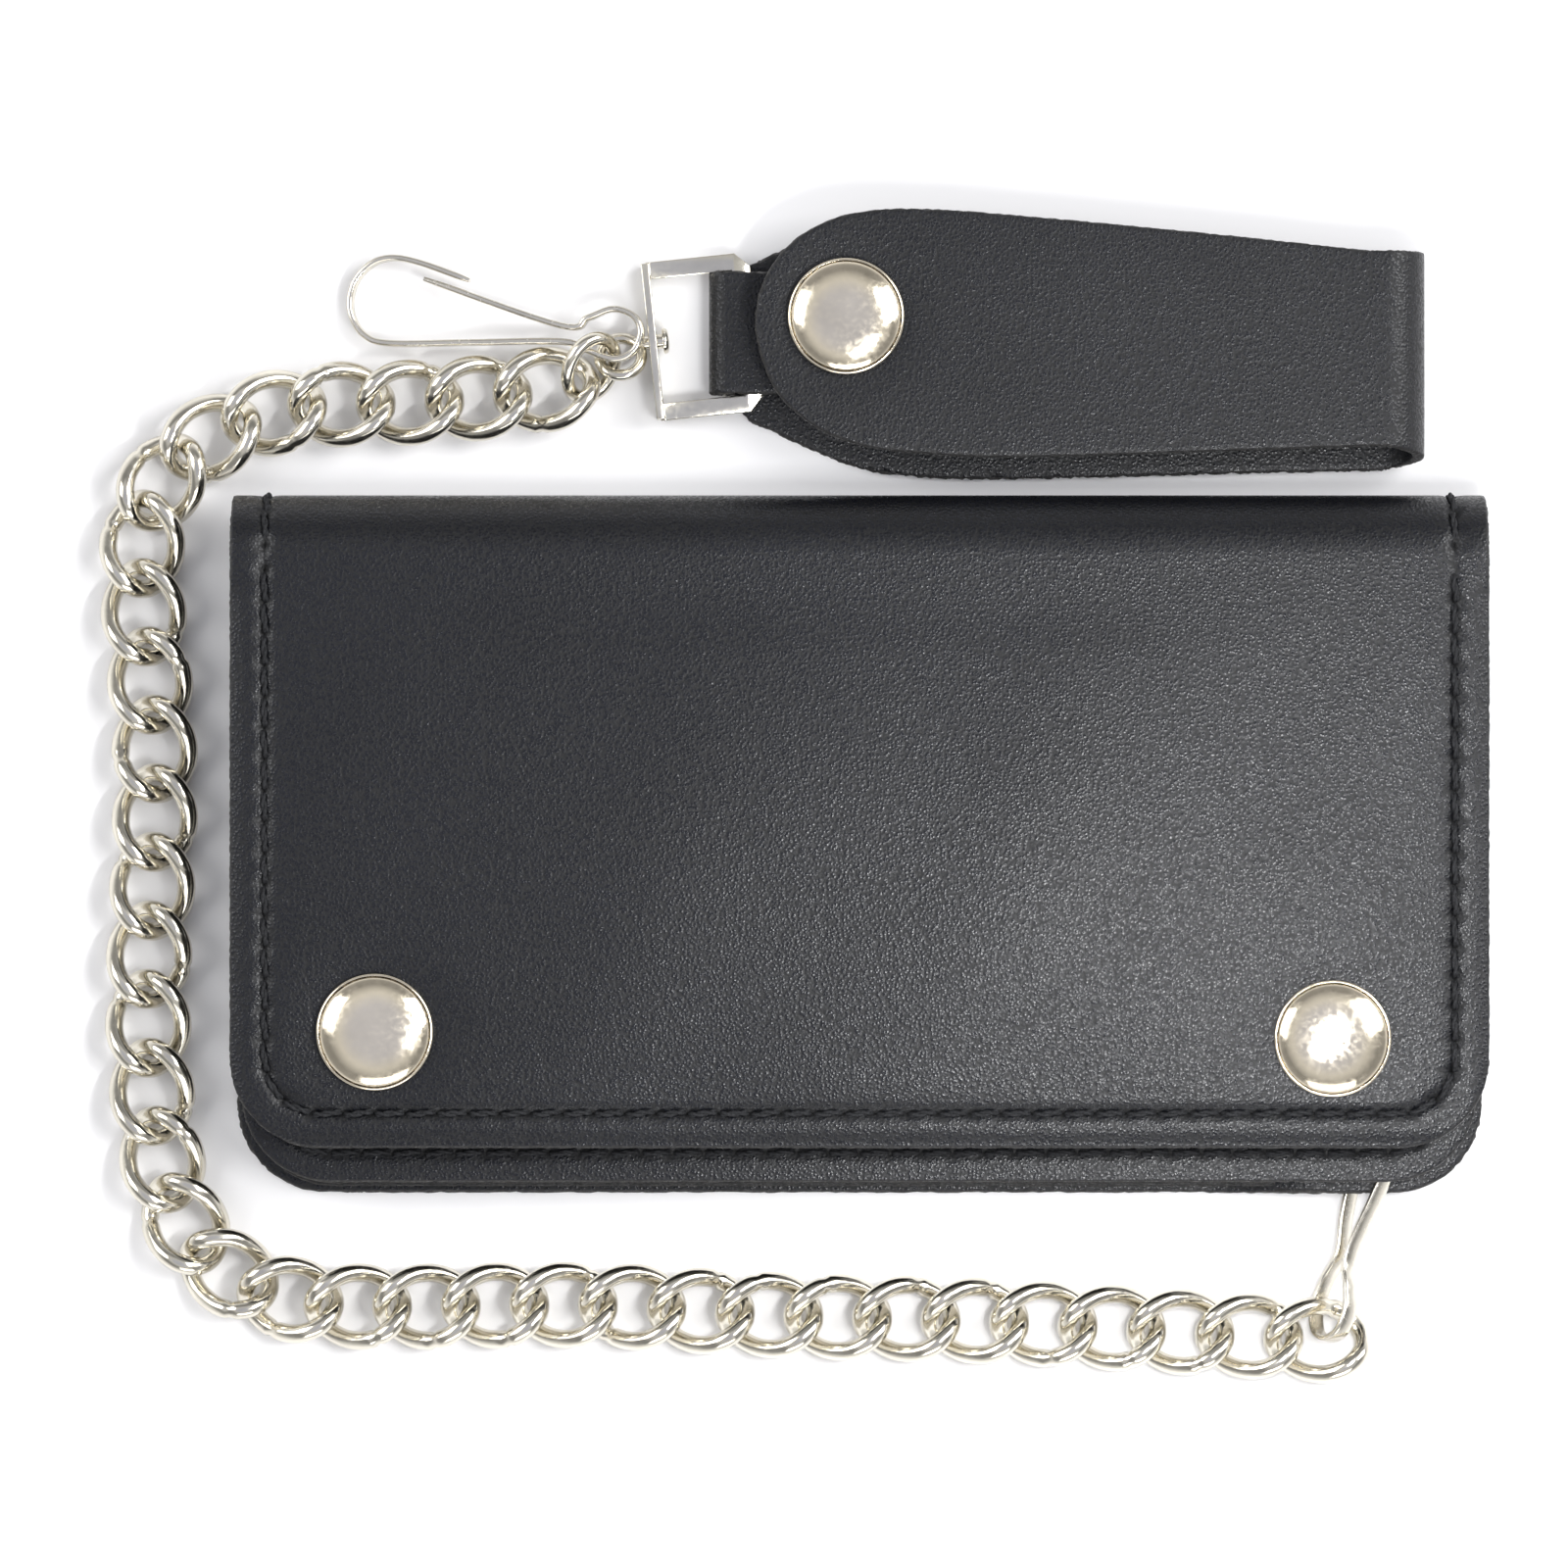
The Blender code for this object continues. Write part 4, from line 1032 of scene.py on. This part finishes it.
def strap_upper():
    """The upper leaf of the belt strap and the outside of its fold."""
    lows = even_steps(smooth_curve(UPPER_LOW, 8), 130) * MM
    highs = even_steps(smooth_curve(UPPER_HIGH, 8), 130) * MM
    share = np.linspace(0, 1, 56)
    z = STRAP_TOP - STRAP / 2
    rows = [across_row(start[0], z, start[1], end[1], share, end[0]) for start, end in zip(lows, highs)]
    low_y, high_y = lows[-1][1], highs[-1][1]
    rows += [across_row(x, z, low_y, high_y, share) for x in np.arange(70.1 * MM, FOLD_X, 0.3 * MM)]
    for angle in np.radians(np.linspace(90, -70, 44)):
        shift = -3 * MM * (90 - math.degrees(angle)) / 180
        rows.append(across_row(FOLD_X + FOLD_RADIUS * math.cos(angle),
                               STRAP_TOP / 2 + FOLD_RADIUS * math.sin(angle), low_y + shift, high_y, share))
    middle = np.array(rows)
    x, y = middle[..., 0], middle[..., 1]
    flat = x < 66 * MM
    place = center_of("strap_snap_cap")
    sink = 0.35 * MM * np.exp(-((np.hypot(x - place[0], y - place[1]) / (9.5 * MM)) ** 4))
    fade = np.where(flat, ease(66 * MM - x, 0, 14 * MM), 0)
    middle[..., 2] += (0.12 * MM * noise(x, y, 35 * MM, 31)) * fade - sink
    piece = leather_sheet("strap_upper_leather", middle, STRAP, 0.4 * MM, STRAP_LEATHER, 0.6, None, 0.07 * MM)
    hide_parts("strap_upper_leaf")
    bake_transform(piece)


def strap_lower():
    """The strap's lower leaf, its tongue round the ring frame's bar, and the tongue's way back to the snap."""
    bar_x = -17.9 * MM
    bar_z = 2.76 * MM
    radius = bar_z - STRAP / 2
    tongue = (62.3 * MM, 78.5 * MM)
    stations = []
    for angle in np.radians(np.linspace(-70.5, -88, 8)):
        share = (90 - math.degrees(angle)) / 180
        stations.append((FOLD_X + FOLD_RADIUS * math.cos(angle),
                         STRAP_TOP / 2 + FOLD_RADIUS * math.sin(angle), (54.9 - 3 * share) * MM, 80.9 * MM))
    leaf = even_steps(smooth_curve(LOWER_LEAF, 8), 170) * MM
    stations += [(x, STRAP / 2, low_y, high_y) for x, low_y, high_y in leaf]
    for angle in np.radians(np.linspace(-92, -270, 26)):
        stations.append((bar_x + radius * math.cos(angle), bar_z + radius * math.sin(angle), *tongue))
    stations += [(x, bar_z + radius, *tongue) for x in np.linspace(bar_x + 1 * MM, 8 * MM, 40)]
    share = np.linspace(0, 1, 40)
    rows = [across_row(x, z, low_y, high_y, share) for x, z, low_y, high_y in stations]
    piece = leather_sheet("strap_lower_leather", np.array(rows), STRAP, 0.3 * MM, STRAP_LEATHER, 0.9,
                          ragged=0.2 * MM)
    settle(piece, "strap_lower", ["strap_lower_leaf"])


# Floor, light and camera

def area_light(name, place, size, power, turn=0.0, aim=None):
    light = bpy.data.lights.new(name, "AREA")
    light.shape = "RECTANGLE"
    light.size, light.size_y = size
    light.energy = power
    lamp = bpy.data.objects.new(name, light)
    lamp.location = place
    facing = (Vector(aim or (0, 0, 0)) - Vector(place)).to_track_quat("-Z", "Y").to_matrix()
    lamp.rotation_euler = (facing @ Matrix.Rotation(turn, 3, "Z")).to_euler()
    lamp.visible_camera = False
    bpy.context.scene.collection.objects.link(lamp)


def floor():
    """The plain pale floor, a little under the object."""
    size = 3.0
    level = -0.0001
    corners = [(-size, -size, level), (size, -size, level), (size, size, level), (-size, size, level)]
    nodes = Nodes("floor")
    tone = nodes.texture("Noise", 3, Detail=2)
    tone = nodes.ramp(tone, ((0.3, (0.86, 0.855, 0.86)), (0.7, (0.88, 0.875, 0.88))))
    nodes.set(Base_Color=tone, Roughness=0.9)
    new_piece("floor", corners, [(0, 1, 2, 3)], nodes.material)


def studio_light():
    """A soft surround that is darker at mid height, a small light for the sheen, and three soft boxes."""
    world = bpy.data.worlds.new("studio")
    world.use_nodes = True
    tree = world.node_tree
    coordinates = tree.nodes.new("ShaderNodeTexCoord")
    height = tree.nodes.new("ShaderNodeSeparateXYZ")
    ramp = tree.nodes.new("ShaderNodeValToRGB")
    tree.links.new(coordinates.outputs["Generated"], height.inputs[0])
    tree.links.new(height.outputs["Z"], ramp.inputs[0])
    ramp.color_ramp.elements[0].position = 0.15
    ramp.color_ramp.elements[0].color = (0.95, 0.95, 0.96, 1)
    ramp.color_ramp.elements[1].position = 0.96
    ramp.color_ramp.elements[1].color = (0.54, 0.56, 0.66, 1)
    for place, shade in ((0.42, 0.32), (0.68, 0.26), (0.86, 0.66)):
        ramp.color_ramp.elements.new(place).color = (shade, shade, shade * 1.01, 1)
    tree.links.new(ramp.outputs[0], tree.nodes["Background"].inputs[0])
    tree.nodes["Background"].inputs[1].default_value = 1.0
    bpy.context.scene.world = world
    area_light("window", (0.068, -0.032, 0.24), (0.09, 0.025), 0.38, math.radians(50), (0.068, -0.033, 0))
    area_light("key", (0.75, 0.35, 0.75), (0.55, 0.7), 9)
    area_light("fill", (-0.85, 0.3, 0.7), (0.6, 0.6), 5)
    area_light("front", (0.1, -0.95, 0.6), (0.9, 0.4), 4)


def camera_above():
    """The photograph's view: almost straight down, from far enough to be nearly flat."""
    camera = bpy.data.cameras.new("camera")
    view_width = 0.2171
    distance = 1.1
    camera.sensor_width = 36
    camera.lens = camera.sensor_width * distance / view_width
    camera.clip_start = 0.01
    holder = bpy.data.objects.new("camera", camera)
    holder.location = (-0.0103, 0.0082, distance)
    bpy.context.scene.collection.objects.link(holder)
    bpy.context.scene.camera = holder
    bpy.context.scene.view_settings.view_transform = "Standard"


def main():
    floor()
    studio_light()
    camera_above()
    front_cover()
    back_cover()
    inner_leaves()
    zip_panel()
    snap_cap("snap_cap_left", "flap")
    snap_cap("snap_cap_right", "flap")
    snap_cap("strap_snap_cap", "strap_upper")
    chain()
    hooks()
    end_ring()
    swivel_eye()
    strap_upper()
    strap_lower()
    softened("ring_frame", "ring_frame", CHAIN_NICKEL, 0.18 * MM)
    softened("zip_slider", "zip_slider", ZIP_METAL, 0.15 * MM)
    for node, body in (
        ("grommet", "wallet_back"),
        ("snap_socket_left", "flap"), ("snap_socket_right", "flap"), ("strap_snap_socket", "strap_upper"),
        ("snap_stud_left", "wallet_back"), ("snap_stud_right", "wallet_back"), ("strap_snap_stud", "strap_lower"),
    ):
        softened(node, body, SNAP_NICKEL, 0.12 * MM)


main()
